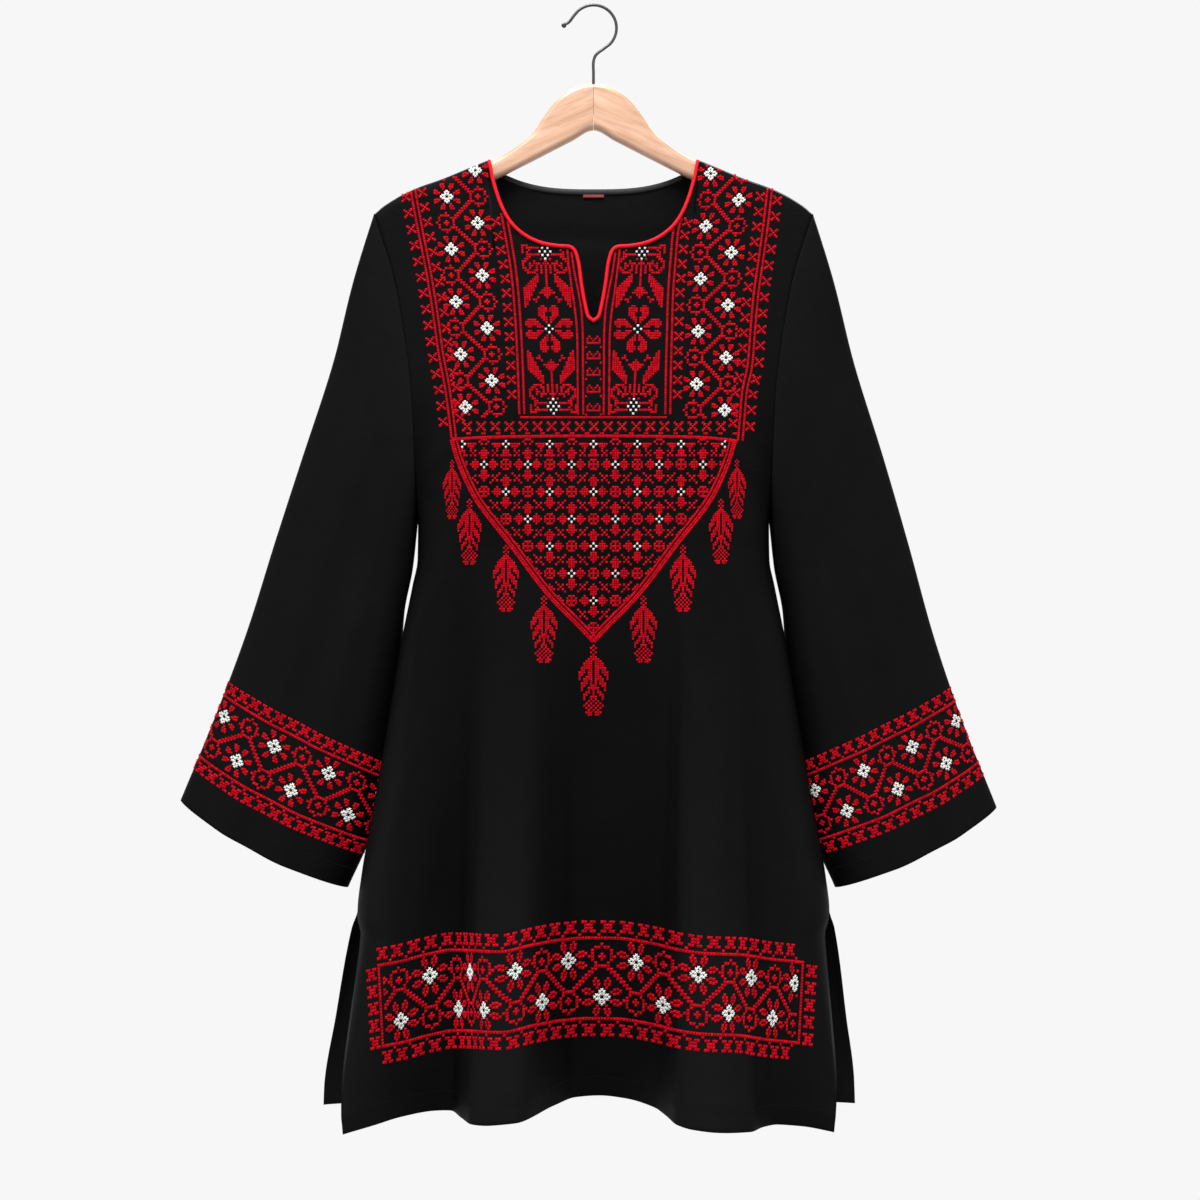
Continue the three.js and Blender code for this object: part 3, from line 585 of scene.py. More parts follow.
print("cloth")
front, frontGrid = makeFrontPanel()
back, backGrid = makeBackPanel()
leftSleeve = makeSleeve("tunic_left_sleeve", -1)
rightSleeve = makeSleeve("tunic_right_sleeve", 1)


# Neck trimmings

def makePiping():
    line = mirrored(pipingHalf[::-1])
    y = frontForm(line[:, 0], line[:, 1]) - neck["pipingProud"]
    return barObject("piping", np.stack([line[:, 0], y, line[:, 1]], -1), neck["pipingRadius"], 14)


def makeBinding():
    x = np.linspace(-neck["bindingHalf"], neck["bindingHalf"], 90)[None]
    share, rise = np.array(neck["bindingProfile"]).T[..., None]
    z = backNeckZ(x) - neck["bindingDrop"] - neck["bindingWidth"] * share
    y = backForm(np.broadcast_to(x, z.shape), z) - body["thickness"] - neck["bindingProud"] - rise
    grid = spread(x, y, z)
    return shellObject("neck_binding", grid, np.broadcast_to((0.0, -1.0, 0.0), grid.shape),
                       neck["bindingShell"])


def makeLabel():
    width, height, thickness = neck["label"]
    low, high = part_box("neck_label")
    middleZ = (low.z + high.z) / 2 / mm
    x = np.linspace(-width / 2, width / 2, 22)[None]
    z = middleZ + np.linspace(height / 2, -height / 2, 7)[:, None]
    y = np.broadcast_to(low.y / mm + neck["labelBow"] * (x / width) ** 2, (7, 22))
    grid = spread(x, y, z)
    return shellObject("label_bar", grid, np.broadcast_to((0.0, -1.0, 0.0), grid.shape), thickness)


print("neck")
piping = makePiping()
binding = makeBinding()
labelBar = makeLabel()


# Hanger

hanger = {
    "top": [(0, -78.2), (16, -81), (34, -91.5), (48, -108.5), (61, -127.5), (76, -140), (98, -153.8)],
    "under": [(0, -123.5), (22, -134.5), (60, -154), (99, -173.5)],
    "end": [(199, -215), (206, -214), (209.5, -208.5), (205.5, -201.5)],
    "seat": 2.4, "armHeight": 21, "thickness": 12.6, "edge": 5, "split": 0.15,
    "seamX": (125, 150, 176, 194), "lowerX": (176, 150, 125), "perSpan": 14, "overlap": 3,
    "edgeSteps": 13, "crease": 40,
}
hook = {
    "wire": 1.5, "radius": 23, "ball": 2.6, "foot": -108,
    "tip": [(-29.5, -18.8), (-24.3, -15.4)], "stem": [(2.4, -48.6), (0, -55), (0, -66), (0, -78)],
    "from": 146, "sweep": -208, "ringPoints": 11, "ballReach": (-0.96, 0.9), "ballRings": 14, "bare": 5,
}


# Half of the outline, from the middle of the top edge round the end to the middle below
def hangerOutline():
    underSeam = [(x, float(shoulderZ(x)) - hanger["seat"]) for x in hanger["seamX"]]
    lower = [(x, float(shoulderZ(x)) - hanger["seat"] - hanger["armHeight"]) for x in hanger["lowerX"]]
    half = hanger["top"] + underSeam + hanger["end"][::-1] + lower + hanger["under"][::-1]
    more = hanger["overlap"]
    whole = [(-x, z) for x, z in half[more:0:-1]] + half + [(-x, z) for x, z in half[-2:-2 - more:-1]]
    line = smoothLine(whole, hanger["perSpan"])
    cut = more * hanger["perSpan"]
    return line[cut:len(line) - cut]


# Each arm: the outline drawn in by a quarter circle towards both faces, capped by flat faces
# and by the mitre at the middle
def makeHangerArm(name, side):
    line = hangerOutline()
    line[0, 0] = line[-1, 0] = 0
    along = np.gradient(line, axis=0)
    along[0] = (1, 0)
    along[-1] = (-1, 0)
    along = unit(along)
    inwards = np.stack([along[:, 1], -along[:, 0]], -1)
    angle = np.linspace(-math.pi / 2, math.pi / 2, hanger["edgeSteps"])
    edge, half = hanger["edge"], hanger["thickness"] / 2
    y = np.sign(angle) * (half - edge) + edge * np.sin(angle)
    drawnIn = edge * (1 - np.cos(angle))
    flat = line[None] + inwards[None] * drawnIn[:, None, None]
    x = np.maximum(flat[..., 0], 0) + hanger["split"]
    grid = np.stack([side * x, np.broadcast_to(y[:, None], x.shape), flat[..., 1]], -1)
    rows, columns = grid.shape[:2]
    index = np.arange(rows * columns).reshape(rows, columns)
    faces = gridFaces(rows, columns).tolist()
    faces += [index[0].tolist(), index[-1, ::-1].tolist()]
    faces.append(np.concatenate([index[:, 0], index[::-1, -1]]).tolist())
    piece = makeObject(name, grid, faces)
    pointOutwards(piece)
    piece.data.set_sharp_from_angle(angle=math.radians(hanger["crease"]))
    return piece


# The wire runs from its tip round the ring into the stem; the ball's rings are a circle's heights
def makeHook():
    angle = np.radians(hook["from"] + hook["sweep"] * np.linspace(0, 1, hook["ringPoints"]))
    centreZ = hook["wire"] - hook["radius"]
    ring = np.stack([hook["radius"] * np.cos(angle), centreZ + hook["radius"] * np.sin(angle)], -1)
    points = hook["tip"] + ring.tolist() + hook["stem"] + [(0, hook["foot"])]
    line = smoothLine(points, 9)
    line = np.stack([line[:, 0], np.zeros(len(line)), line[:, 1]], -1)
    start, along = line[0], unit(line[0] - line[1])
    share = np.linspace(*hook["ballReach"], hook["ballRings"])
    ball = start - along * share[:, None] * hook["ball"]
    wire = line[hook["bare"]:]
    radii = np.concatenate([hook["ball"] * np.sqrt(1 - share ** 2), np.full(len(wire), hook["wire"])])
    return barObject("hook_wire", np.concatenate([ball, wire]), radii, 16)


print("hanger")
leftArm = makeHangerArm("hanger_left", -1)
rightArm = makeHangerArm("hanger_right", 1)
hookWire = makeHook()


# Embroidery. Its places are given in pixels of the photograph, which are millimetres in the
# plane of the hook, or in stitches counted across and down from a motif's middle.

thread = {
    "halfWidth": 0.25, "ridge": 0.72, "height": 0.24, "over": 0.12, "under": 0.06,
    "turnJitter": 6, "sizeJitter": 0.06, "shadeByChance": 0.7, "shadeByStrand": 0.3,
    "cross": [(0.44, 0.44), (0.44, -0.44)], "dash": [(0.40, 0)],
}
chance = np.random.default_rng(7)


def fromPixels(points):
    return np.asarray(points, float) * (1, -1) + view["pixelOrigin"]


# Carries seen places along the line of sight to the front, in three rounds
def seatOnFront(seen):
    centre = np.array(view["centre"])
    real = seen
    for _ in range(3):
        nearer = 1 + frontY(real[:, 0], real[:, 1]) / view["distance"]
        real = centre + (seen - centre) * nearer[:, None]
    return np.stack([real[:, 0], frontY(real[:, 0], real[:, 1]), real[:, 1]], -1)


# One stitch in units of a cell: each strand is a low roof over its line, closed below
def stitchTemplate(strands):
    points, faces = [], []
    for number, (u, v) in enumerate(strands):
        wideU, wideV = np.array([-v, u]) / math.hypot(u, v) * thread["halfWidth"]
        top = thread["height"] + thread["over"] * number
        for s, w in ((-1, -1), (1, -1), (1, 1), (-1, 1)):
            points.append((s * u + w * wideU, s * v + w * wideV, -thread["under"]))
        points += [(s * thread["ridge"] * u, s * thread["ridge"] * v, top) for s in (-1, 1)]
        roof = [(0, 2, 1), (0, 3, 2), (0, 1, 5), (0, 5, 4), (2, 3, 4), (2, 4, 5), (3, 0, 4), (1, 2, 5)]
        faces += [[corner + 6 * number for corner in face] for face in roof]
    return np.array(points), np.array(faces)


# Stitches on a surface: each lies across the vectors between the sides of its cell, turned
# and sized a little by chance. facing says on which side their cross product points out
def sewCells(cells, placeAt, strands="cross", facing=None, keep=None):
    cells = np.asarray(cells, float).reshape(-1, 2)
    steps = [placeAt(cells + step) for step in ((-0.5, 0), (0.5, 0), (0, -0.5), (0, 0.5))]
    centre = sum(steps) / 4
    if keep is not None:
        kept = keep(centre)
        steps, centre = [step[kept] for step in steps], centre[kept]
    across, down = steps[1] - steps[0], steps[3] - steps[2]
    normal = unit(np.cross(across, down))
    side = -np.sign(normal[:, 1]) if facing is None else np.full(len(normal), facing)
    size = np.sqrt(np.linalg.norm(across, axis=1) * np.linalg.norm(down, axis=1))
    normal = normal * (side * size)[:, None]
    points, faces = stitchTemplate(thread[strands])
    count = len(centre)
    turn = np.radians(thread["turnJitter"]) * chance.uniform(-1, 1, count)[:, None]
    grow = 1 + thread["sizeJitter"] * chance.uniform(-1, 1, count)[:, None]
    u = grow * (np.cos(turn) * points[:, 0] - np.sin(turn) * points[:, 1])
    v = grow * (np.sin(turn) * points[:, 0] + np.cos(turn) * points[:, 1])
    where = centre[:, None] + u[..., None] * across[:, None] + v[..., None] * down[:, None]
    where = where + points[:, 2][None, :, None] * normal[:, None]
    corners = np.where((side > 0)[:, None, None], faces, faces[:, ::-1])
    strand = np.arange(len(points)) // 6
    shade = chance.uniform(0, 1, count)[:, None] * thread["shadeByChance"]
    shade = shade + thread["shadeByStrand"] * strand
    return where, corners, shade


# Joins batches of stitches into one mesh, with the shade of each thread as an attribute
def joinStitches(name, batches):
    points, faces, shades, start = [], [], [], 0
    for where, corners, shade in batches:
        count, size = where.shape[:2]
        first = start + np.arange(count) * size
        points.append(where.reshape(-1, 3))
        faces.append((corners + first[:, None, None]).reshape(-1, 3))
        shades.append(shade.ravel())
        start += count * size
    piece = makeObject(name, np.concatenate(points), np.concatenate(faces))
    giveAttribute(piece, "shade", np.concatenate(shades))
    return piece


# Cells moved by i and j, turned upside down where flip is -1
def moved(cells, i, j, flip=1):
    return [(a + i, flip * b + j) for a, b in cells]


def fourWays(cells):
    return sorted({(s * a, t * b) for a, b in cells for s in (1, -1) for t in (1, -1)})


def eightWays(cells):
    return fourWays(cells + [(b, a) for a, b in cells])


# The marked cells of a small chart
def charted(rows, left=0, top=0):
    return [(left + i, top + j) for j, row in enumerate(rows) for i, mark in enumerate(row) if mark == "#"]


motif = {
    "petals": eightWays([(1.5, 3.2), (1.2, 4.1), (2.2, 4.1), (1.5, 5), (2.5, 5)]),
    "openPetals": eightWays([(1.5, 3), (1, 4), (2.3, 4), (1.2, 5), (2.5, 5), (2, 5.9)]),
    "heart": eightWays([(0.5, 1), (0.65, 1.75), (0, 2.3)]),
    "ring": fourWays([(0, 0), (0.75, 0), (0, 0.75)]) + [(0, -4)]
    + [(s * a, b) for s in (-1, 1)
       for a, b in ((1, -3), (2, -3), (3, -2), (3, -1), (4, 0), (3, 0), (3, 1), (2, 2))],
    "smallCross": [(0, 0)] + fourWays([(0.8, 0.8), (1.4, 1.45)]),
    "wideCross": [(0.88 * i, j) for i, j in charted(["##.##", ".###.", ".###.", "##.##"])],
    "bud": charted([".###.", "#.#.#", "#####", "#.#.#", ".###."], -2, -2),
    "crown": charted([".#...#.", "#.#.#.#", "#..#..#", "#######"], -3, -2),
    "fourPetals": fourWays([(0, 2), (0, 3), (1, 3), (0, 4), (1, 4), (0, 5), (1, 5), (2, 5), (0, 6),
                            (1, 6), (0, 7), (2, 0), (3, 0), (3, 1), (4, 0), (4, 1), (4, 2), (5, 0),
                            (5, 1), (6, 0)]),
    "fourHeart": [(0, -1.25), (0, 1.25), (-1.25, 0), (1.25, 0)],
}


# A band's rows between its frame lines, the columns after which it repeats, and how far outside
# the lines its crosses start
band = {"rows": 26, "repeat": 22, "above": -5.2, "below": 28.2}


# Rings and flowers on both sides of a wave, for columns first to last of a band
def waveBand(first, last, petals="petals"):
    red, white, repeat = [], [], band["repeat"]
    for column in range(first // repeat * repeat - repeat, last + repeat + 1, repeat):
        red += moved(motif["ring"], column, 6) + moved(motif[petals], column, 19)
        red += moved(motif["ring"], column + 11, 20, -1) + moved(motif[petals], column + 11, 7)
        white += moved(motif["heart"], column, 19) + moved(motif["heart"], column + 11, 7)
        red += [(column + i, 9) for i in range(-2, 3)] + [(column + i, 17) for i in range(9, 14)]
        for k in range(1, 8):
            red += [(column + i, 9 + k) for i in (1 + k, 2 + k, 21 - k, 20 - k)]
    return [[cell for cell in cells if first <= cell[0] <= last] for cells in (red, white)]


# A band's two frame lines with a row of crosses outside each of them, one every so many columns
def bandFrame(first, last, every):
    red = [(i, j) for i in range(first, last + 1) for j in (0, band["rows"])]
    for i in np.arange(first, last - 2, every):
        red += moved(motif["wideCross"], i, band["above"]) + moved(motif["wideCross"], i, band["below"])
        red += [(i + (every + 4) / 2, -1), (i + (every + 4) / 2, band["rows"] + 1)]
    return red


# A map from cells to a plane grid in seen places
def gridAt(pixel, pitch, lean=0.0):
    x, z = fromPixels([pixel])[0]

    def place(cells):
        down = cells[:, 1] * pitch[1]
        return seatOnFront(np.stack([x + cells[:, 0] * pitch[0] + lean * down, z - down], -1))
    return place


# A map from cells to places along a seen line, offset to its left in the direction of travel
def lineAt(pixels, pitch, offset=0.0):
    line = smoothLine(fromPixels(pixels), 10)
    lengths = lengthsAlong(line)
    along = unit(np.gradient(line, axis=0))
    aside = np.stack([-along[:, 1], along[:, 0]], -1)

    def place(cells):
        at = cells[:, 0] * pitch
        over = np.clip(at, 0, lengths[-1])
        point, side, ahead = [np.stack([np.interp(over, lengths, rows[:, k]) for k in (0, 1)], -1)
                              for rows in (line, aside, along)]
        reach = offset - cells[:, 1] * pitch
        return seatOnFront(point + side * reach[:, None] + ahead * (at - over)[:, None])
    return place, lengths[-1]


# One stitch after another along a line
def sewLine(pixels, pitch, offset=0.0):
    place, length = lineAt(pixels, pitch, offset)
    return sewCells([(i + 0.5, 0) for i in range(int(length / pitch))], place, keep=clearOfNeck)


# Small crosses beside a line, every so many millimetres
def sewCrosses(pixels, every, offset, pitch=2.4):
    place, length = lineAt(pixels, pitch, offset)
    cells = []
    for k in range(int(length / every)):
        cells += moved(motif["smallCross"], (k + 0.5) * every / pitch, 0)
    return sewCells(cells, place, keep=clearOfNeck)


neckHalf = curveThrough([(z, x) for x, z in neck["line"]])


# Where the front can be sewn: below the shoulder seam and outside the piping
def clearOfNeck(points):
    x, z = np.abs(points[:, 0]), points[:, 2]
    below = z < shoulderZ(x) - neck["seamGap"]
    outside = (x > neckHalf(z) + neck["pipingGap"]) & (x > neckHalf(z + neck["pipingDrop"]))
    outside |= z < neck["slitFoot"]
    return below & outside


bib = {
    "bandPitch": 2.39, "bandFoot": -411, "bandFirst": -30,
    # seen z and x of a band's axis, and the seen z of its first ring
    "leftBand": ([(-190, -132.5), (-400, -113.7)], -216.5),
    "rightBand": ([(-190, 131.5), (-240, 124), (-300, 120), (-400, 116.8)], -193.5),
    # seen lines in pixels
    "leftOuter": [(408, 172), (410.7, 190), (418, 230), (425.8, 269.5), (432.7, 311), (438.7, 354),
                  (445, 388), (450, 424.5), (451.7, 440)],
    "rightOuter": [(769.5, 175), (767.1, 193), (763.6, 223.6), (758.7, 259.3), (753.7, 295),
                   (750.5, 330.7), (747.5, 366.4), (742.5, 390), (739.8, 420), (738, 441)],
    "leftInner": [(503.5, 213), (505, 220), (513.7, 272), (517.9, 320.4), (520.4, 369.6), (521.9, 416)],
    "rightInner": [(681, 213), (676.5, 227), (673.2, 259.3), (670.6, 295), (669.6, 330.7),
                   (668.6, 366.4), (667.8, 416)],
    "slitLines": [
        [(567.4, 252), (569.7, 272), (572.3, 292), (574.9, 309), (577, 331), (577.6, 370), (577.9, 416)],
        [(571.4, 252), (574.4, 272), (578.4, 292), (581.2, 309), (582.7, 331), (583, 370), (583.3, 416)],
    ],
    "footLine": [(520, 417.4), (593.5, 417.4), (667, 417.4)],
    "lowLine": [(452, 440), (480, 438.2), (540, 436.9), (593.5, 436.6), (650, 436.9), (710, 438.6),
                (739, 442)],
    # a line's name, pitch and offset
    "sewn": [("leftOuter", 2.25, 0), ("leftOuter", 2.25, 4.4), ("rightOuter", 2.25, 0),
             ("rightOuter", 2.25, 4.6), ("leftInner", 2.25, 2.5), ("leftInner", 2.25, -2.5),
             ("rightInner", 2.25, 2.5), ("rightInner", 2.25, -2.5)],
    "sewnBelow": [("footLine", 2.1, 0), ("lowLine", 2.0, 0), ("lowLine", 2.0, 1.0)],
    # a line's name, spacing and offset
    "crossed": [("leftOuter", 16.3, -6.4), ("leftOuter", 15.2, 11), ("rightOuter", 16.3, 11),
                ("rightOuter", 15.2, -6.4), ("leftInner", 14.6, -9.4), ("rightInner", 14.6, 9.4)],
    "crossRow": (593.9, 426.6, 14.1, 9),                  # middle x, y, spacing, count to each side
    "bumps": (601.5, 433.6, 14.8, 9),
    "crowns": [341, 356.5, 373, 390, 408.5],
    "blockAxis": (549.2, 329), "blockLean": 0.055, "blockPitch": 2.25,
    "edgeOffsets": (0.8, 3.0, 6.4),
    "edge": [(450, 440), (456, 461), (474, 500), (509, 546), (547, 596), (580, 630), (593.5, 644.5)],
    "lattice": (593.5, 464.6, 2.19, 2.27), "latticeRows": 7,
    # pixels of a pendant's top and foot, and its width
    "pendants": [(593.5, 645, 716, 30), (544, 596, 663, 27), (643.5, 596, 663, 27), (506, 545, 612, 26),
                 (683, 545, 612, 26), (469.5, 499, 565, 24), (721, 499, 564, 24), (452, 460, 519, 18),
                 (737, 459, 519, 18)],
}
# The right half of a pendant, from its middle column outwards
pendantChart = [
    "#......", ".#.....", "#......", ".#.....", "#......", "##.....", "###....", ".###...",
    ".####..", ".####..", ".#####.", ".##.##.", ".##.###", ".##..##", ".###..#", ".####.#",
    ".#.##..", ".#.###.", "##..##.", "###..#.", "#.#..#.", "#.##...", "#..##..", "##..#..",
    ".#..#..", "#.#....", ".#.#...", "#.#.#..", ".#.#...", "#.#....", ".###...", ".##....",
]
# A quarter of a centre block below and to the right of its flower's middle: the leaf, bud,
# stem, scroll and foot under the petals
blockLeaf = [(10, 1), (9, 2), (9, 2), (8, 3), (8, 3), (7, 4), (7, 4), (6, 5), (6, 5), (5, 5),
             (5, 4), (4, 4), (4, 3), (4, 2), (4, 1)]      # first column and count of each row
blockFoot = [
    ".....####...", "....##..##..", "....#..#.##.", "....#.##..#.", "....##.#..#.", ".....#...##.",
    "........##..", ".......##...", "...######...", "........#.#.", ".......#..#.", "...######.#.",
    "........###.",
]


def blockCells():
    red = eightWays([(1, 3), (1, 4), (2, 4), (1, 5), (2, 5), (3, 5), (2, 6), (3, 6), (4, 6), (2, 7),
                     (3, 7), (4, 7)] + [(i, j) for j in (8, 9) for i in (1, 2, 3, 4)] + [(2, 10), (3, 10)])
    red = [cell for cell in red if abs(cell[0]) <= 10]
    lower = [(first + k, 10 + row) for row, (first, count) in enumerate(blockLeaf) for k in range(count)]
    lower += [(0, j) for j in range(14, 31)] + [(2, j) for j in range(25, 29)]
    lower += [(1, 15), (1, 16), (2, 16), (3, 16), (1, 17), (2, 17), (1, 18), (4, 14), (5, 13), (5, 12),
              (6, 13), (3, 29), (1, 29), (2, 31)]
    lower += charted(blockFoot, 0, 25)
    white = [(0, -1.5), (0, 1.5), (-1.5, 0), (1.5, 0)]
    diamond = [(0, 0), (1.2, 1.6), (-1.2, 1.6), (1.2, -1.6), (-1.2, -1.6), (2.4, 0), (-2.4, 0),
               (0, 3.2), (0, -3.2)]
    return red + fourWays(lower), white + moved(diamond, 0, 34.4) + moved(diamond, 0, -34.4)


def insideTriangle(margin):
    edge = fromPixels(bib["edge"])
    halfAt = curveThrough([(z, -x) for x, z in edge])

    def keep(points):
        nearer = 1 + points[:, 1] / view["distance"]
        seenX = view["centre"][0] + (points[:, 0] - view["centre"][0]) / nearer
        seenZ = view["centre"][1] + (points[:, 2] - view["centre"][1]) / nearer
        return (np.abs(seenX) < halfAt(seenZ) - margin) & (seenZ > edge[-1, 1] + margin)
    return keep


def triangleCells():
    red, white = [], []
    for n in range(bib["latticeRows"]):
        for m in range(-7, 8):
            i, j = 10 * m, 12 * n
            if (m + n) % 2:
                red += moved(motif["fourPetals"], i, j)
                white += moved(motif["fourHeart"], i, j)
            else:
                red += moved(motif["bud"], i, j)
            slope = 1 if (m + n) % 2 == 0 else -1
            line = [(k, slope * k) for k in range(-2, 3)] + [(1, -slope), (-1, slope)]
            red += moved(line, i + 5, j + 6)
    for m in range(-6, 7):
        if m % 2 == 0:
            half = [cell for cell in motif["fourPetals"] if cell[1] >= 0 and cell[1] < 6]
            red += moved(half, 10 * m, -9)
            white += moved(motif["fourHeart"], 10 * m, -9)
        else:
            red += moved([(-1, 0), (0, 0), (1, 0), (-2, 1), (2, 1), (-1, 2), (1, 2)], 10 * m, -11)
        slope = -1 if m % 2 else 1
        red += moved([(k, slope * k) for k in (-1, 0, 1)] + [(1, -slope), (-1, slope)], 10 * m + 5, -5)
    return red, white


# Pixels on the other side of the line through the hook
def mirroredPixels(pixels):
    return [(-2 * view["pixelOrigin"][0] - x, y) for x, y in pixels]


def makeBib():
    red, white = [], []
    for name in ("leftBand", "rightBand"):
        table, first = bib[name]
        axis = curveThrough(table)

        def place(cells, axis=axis, first=first):
            z = first - cells[:, 0] * bib["bandPitch"]
            aside = (cells[:, 1] - band["rows"] / 2) * bib["bandPitch"]
            return seatOnFront(np.stack([axis(z) + aside, z], -1))
        cells = waveBand(bib["bandFirst"], int((first - bib["bandFoot"]) / bib["bandPitch"]))
        red.append(sewCells(cells[0], place, keep=clearOfNeck))
        white.append(sewCells(cells[1], place, keep=clearOfNeck))
    red += [sewLine(bib[name], pitch, offset) for name, pitch, offset in bib["sewn"]]
    red += [sewCrosses(bib[name], every, offset) for name, every, offset in bib["crossed"]]
    for line in bib["slitLines"]:
        red += [sewLine(line, 2.1), sewLine(mirroredPixels(line), 2.1)]
    red += [sewLine(bib[name], pitch, offset) for name, pitch, offset in bib["sewnBelow"]]
    x, y, every, count = bib["crossRow"]
    pitch = 2.6
    row = []
    for k in range(-count, count + 1):
        row += moved(motif["smallCross"], k * every / pitch, 0)
    red.append(sewCells(row, gridAt((x, y), (pitch, pitch)), keep=clearOfNeck))
    x, y, every, count = bib["bumps"]
    pitch = 2.3
    row = [(k * every / pitch + i, 0) for k in range(-count, count + 1) for i in (-0.4, 0.6)]
    red.append(sewCells(row, gridAt((x, y), (pitch, pitch)), keep=insideTriangle(-2)))
    for y in bib["crowns"]:
        teeth = [(-3.7, 3), (3.7, 3)]
        red.append(sewCells(motif["crown"] + teeth, gridAt((593.5, y), (2.0, 2.1)), keep=clearOfNeck))
    blockRed, blockWhite = blockCells()
    x, y = bib["blockAxis"]
    for side in (1, -1):
        centre = (x, y) if side > 0 else mirroredPixels([(x, y)])[0]
        place = gridAt(centre, (side * bib["blockPitch"], bib["blockPitch"]), side * bib["blockLean"])
        red.append(sewCells(blockRed, place, keep=clearOfNeck))
        white.append(sewCells(blockWhite, place, keep=clearOfNeck))
    x, y, wide, high = bib["lattice"]
    netRed, netWhite = triangleCells()
    net = gridAt((x, y), (wide, high))
    red.append(sewCells(netRed, net, keep=insideTriangle(9)))
    white.append(sewCells(netWhite, net, keep=insideTriangle(10)))
    for edge in (bib["edge"], mirroredPixels(bib["edge"])):
        inwards = 1 if edge is bib["edge"] else -1
        red += [sewLine(edge, 2.2, inwards * offset) for offset in bib["edgeOffsets"]]
    half = charted(pendantChart)
    whole = sorted({(s * i, j) for i, j in half for s in (-1, 1)})
    for x, top, foot, width in bib["pendants"]:
        pitches = (width / 13, (foot - top) / len(pendantChart))
        red.append(sewCells(whole, gridAt((x, top + 1), pitches)))
    return joinStitches("bib_red", red), joinStitches("bib_white", white)


hemBand = {
    # column and seen x of the motifs' middles, in pixels; the folds draw some of them together
    "columns": [(-104, 360), (-96, 378.5), (-88, 398), (-77, 429), (-66, 457), (-55, 469.5),
                (-44, 482), (-33, 515), (-22, 541.3), (-11, 568), (0, 602), (11, 636.5), (22, 664),
                (33, 699), (44, 731), (55, 752), (66, 775.3), (77, 796), (80, 803), (88, 822)],
    # seen x and y of the upper line, in pixels
    "line": [(350, 972), (377, 966), (400, 961.6), (427, 954.5), (454, 950), (499, 952),
             (534, 944.6), (561, 940), (588, 938), (617, 938.4), (644, 942), (661, 945.5),
             (679, 950), (706, 953.6), (742, 955), (769, 959), (803, 962.5), (830, 966)],
    "row": 3.1, "lean": 0.00025, "first": -96, "last": 80, "every": 6,
    "endCrosses": (1, 6.5, 12, 17.5, 23),
}


def makeHemBand():
    columnX = curveThrough(hemBand["columns"])
    lineY = curveThrough(hemBand["line"])

    def place(cells):
        down = cells[:, 1] * hemBand["row"]
        x = columnX(cells[:, 0])
        y = lineY(x) + down
        leant = x - (x + view["pixelOrigin"][0]) * hemBand["lean"] * down
        return seatOnFront(fromPixels(np.stack([leant, y], -1)))
    first, last = hemBand["first"], hemBand["last"]
    red, white = waveBand(first + 2, last - 2, "openPetals")
    red += bandFrame(first, last, hemBand["every"])
    red += [(i, j) for i in (first, last) for j in range(1, band["rows"])]
    for j in hemBand["endCrosses"]:
        red += moved(motif["wideCross"], first - 5, j) + moved(motif["wideCross"], last + 2, j)
    return (joinStitches("hem_red", [sewCells(red, place)]),
            joinStitches("hem_white", [sewCells(white, place)]))


cuffBand = {
    "lower": 49, "upper": 114.5, "outerLength": 621, "innerLength": 375, "probe": 0.87,
    "samples": 300,                                       # points across each face
    # pitch, the way from the outer edge to the first lower flower on the front, spacing of crosses
    "left": (2.945, 48.5, 5.25), "right": (2.63, 41.6, 6.05),
}


# The height of a row: the band's height over its rows
def cuffRow():
    return (cuffBand["upper"] - cuffBand["lower"]) / band["rows"]


# Cells of a band round a cuff: columns by length round the tube from its outer edge, rows by
# distance from the cuff's edge
def cuffPlace(side, pitch, start):
    half = cuffBand["samples"]
    v, face = sleeveRing(2 * half)
    ring = sleevePoint(side, np.full(2 * half, cuffBand["probe"]), v, face)
    ring = np.concatenate([ring, ring[:1]])
    lengths = lengthsAlong(ring)
    whole = lengths[-1]
    row = cuffRow()

    def place(cells):
        at = np.interp((start + cells[:, 0] * pitch) % whole, lengths, np.arange(2 * half + 1))
        onFront = at <= half
        v = (1 - np.cos(math.pi * np.where(onFront, at, 2 * half - at) / half)) / 2
        length = cuffBand["outerLength"] + (cuffBand["innerLength"] - cuffBand["outerLength"]) * v
        t = 1 - (cuffBand["upper"] - cells[:, 1] * row) / length
        return sleevePoint(side, t, v, np.where(onFront, -1.0, 1.0))
    return place, whole


def makeCuffBands():
    red, white = [], []
    for side, name in ((-1, "left"), (1, "right")):
        pitch, start, every = cuffBand[name]
        place, whole = cuffPlace(side, pitch, start)
        first = math.ceil((1 - whole / 2 - start) / pitch)
        last = math.floor((whole / 2 - 1 - start) / pitch)
        bandRed, bandWhite = waveBand(first, last)
        bandRed += bandFrame(first, last, every)
        red.append(sewCells(bandRed, place, facing=side))
        white.append(sewCells(bandWhite, place, facing=side))
    return joinStitches("cuff_red", red), joinStitches("cuff_white", white)


hemStitch = {"above": 19, "pitch": 2.8, "row": 0.9}


# The point of a panel's grid at a share of its columns and a distance up from its hem
def aboveHem(grid, share, distance):
    rows, columns = grid.shape[:2]
    at = np.clip(share, 0, 1) * (columns - 1)
    i = np.minimum(at.astype(int), columns - 2)
    part = (at - i)[:, None]
    lengths = np.linalg.norm(np.diff(grid, axis=0), axis=2).sum(0)
    length = lengths[i] * (1 - part[:, 0]) + lengths[i + 1] * part[:, 0]
    down = np.clip(1 - distance / length, 0, 1) * (rows - 1)
    j = np.minimum(down.astype(int), rows - 2)
    lower = (down - j)[:, None]
    first = grid[j, i] * (1 - part) + grid[j, i + 1] * part
    second = grid[j + 1, i] * (1 - part) + grid[j + 1, i + 1] * part
    return first * (1 - lower) + second * lower


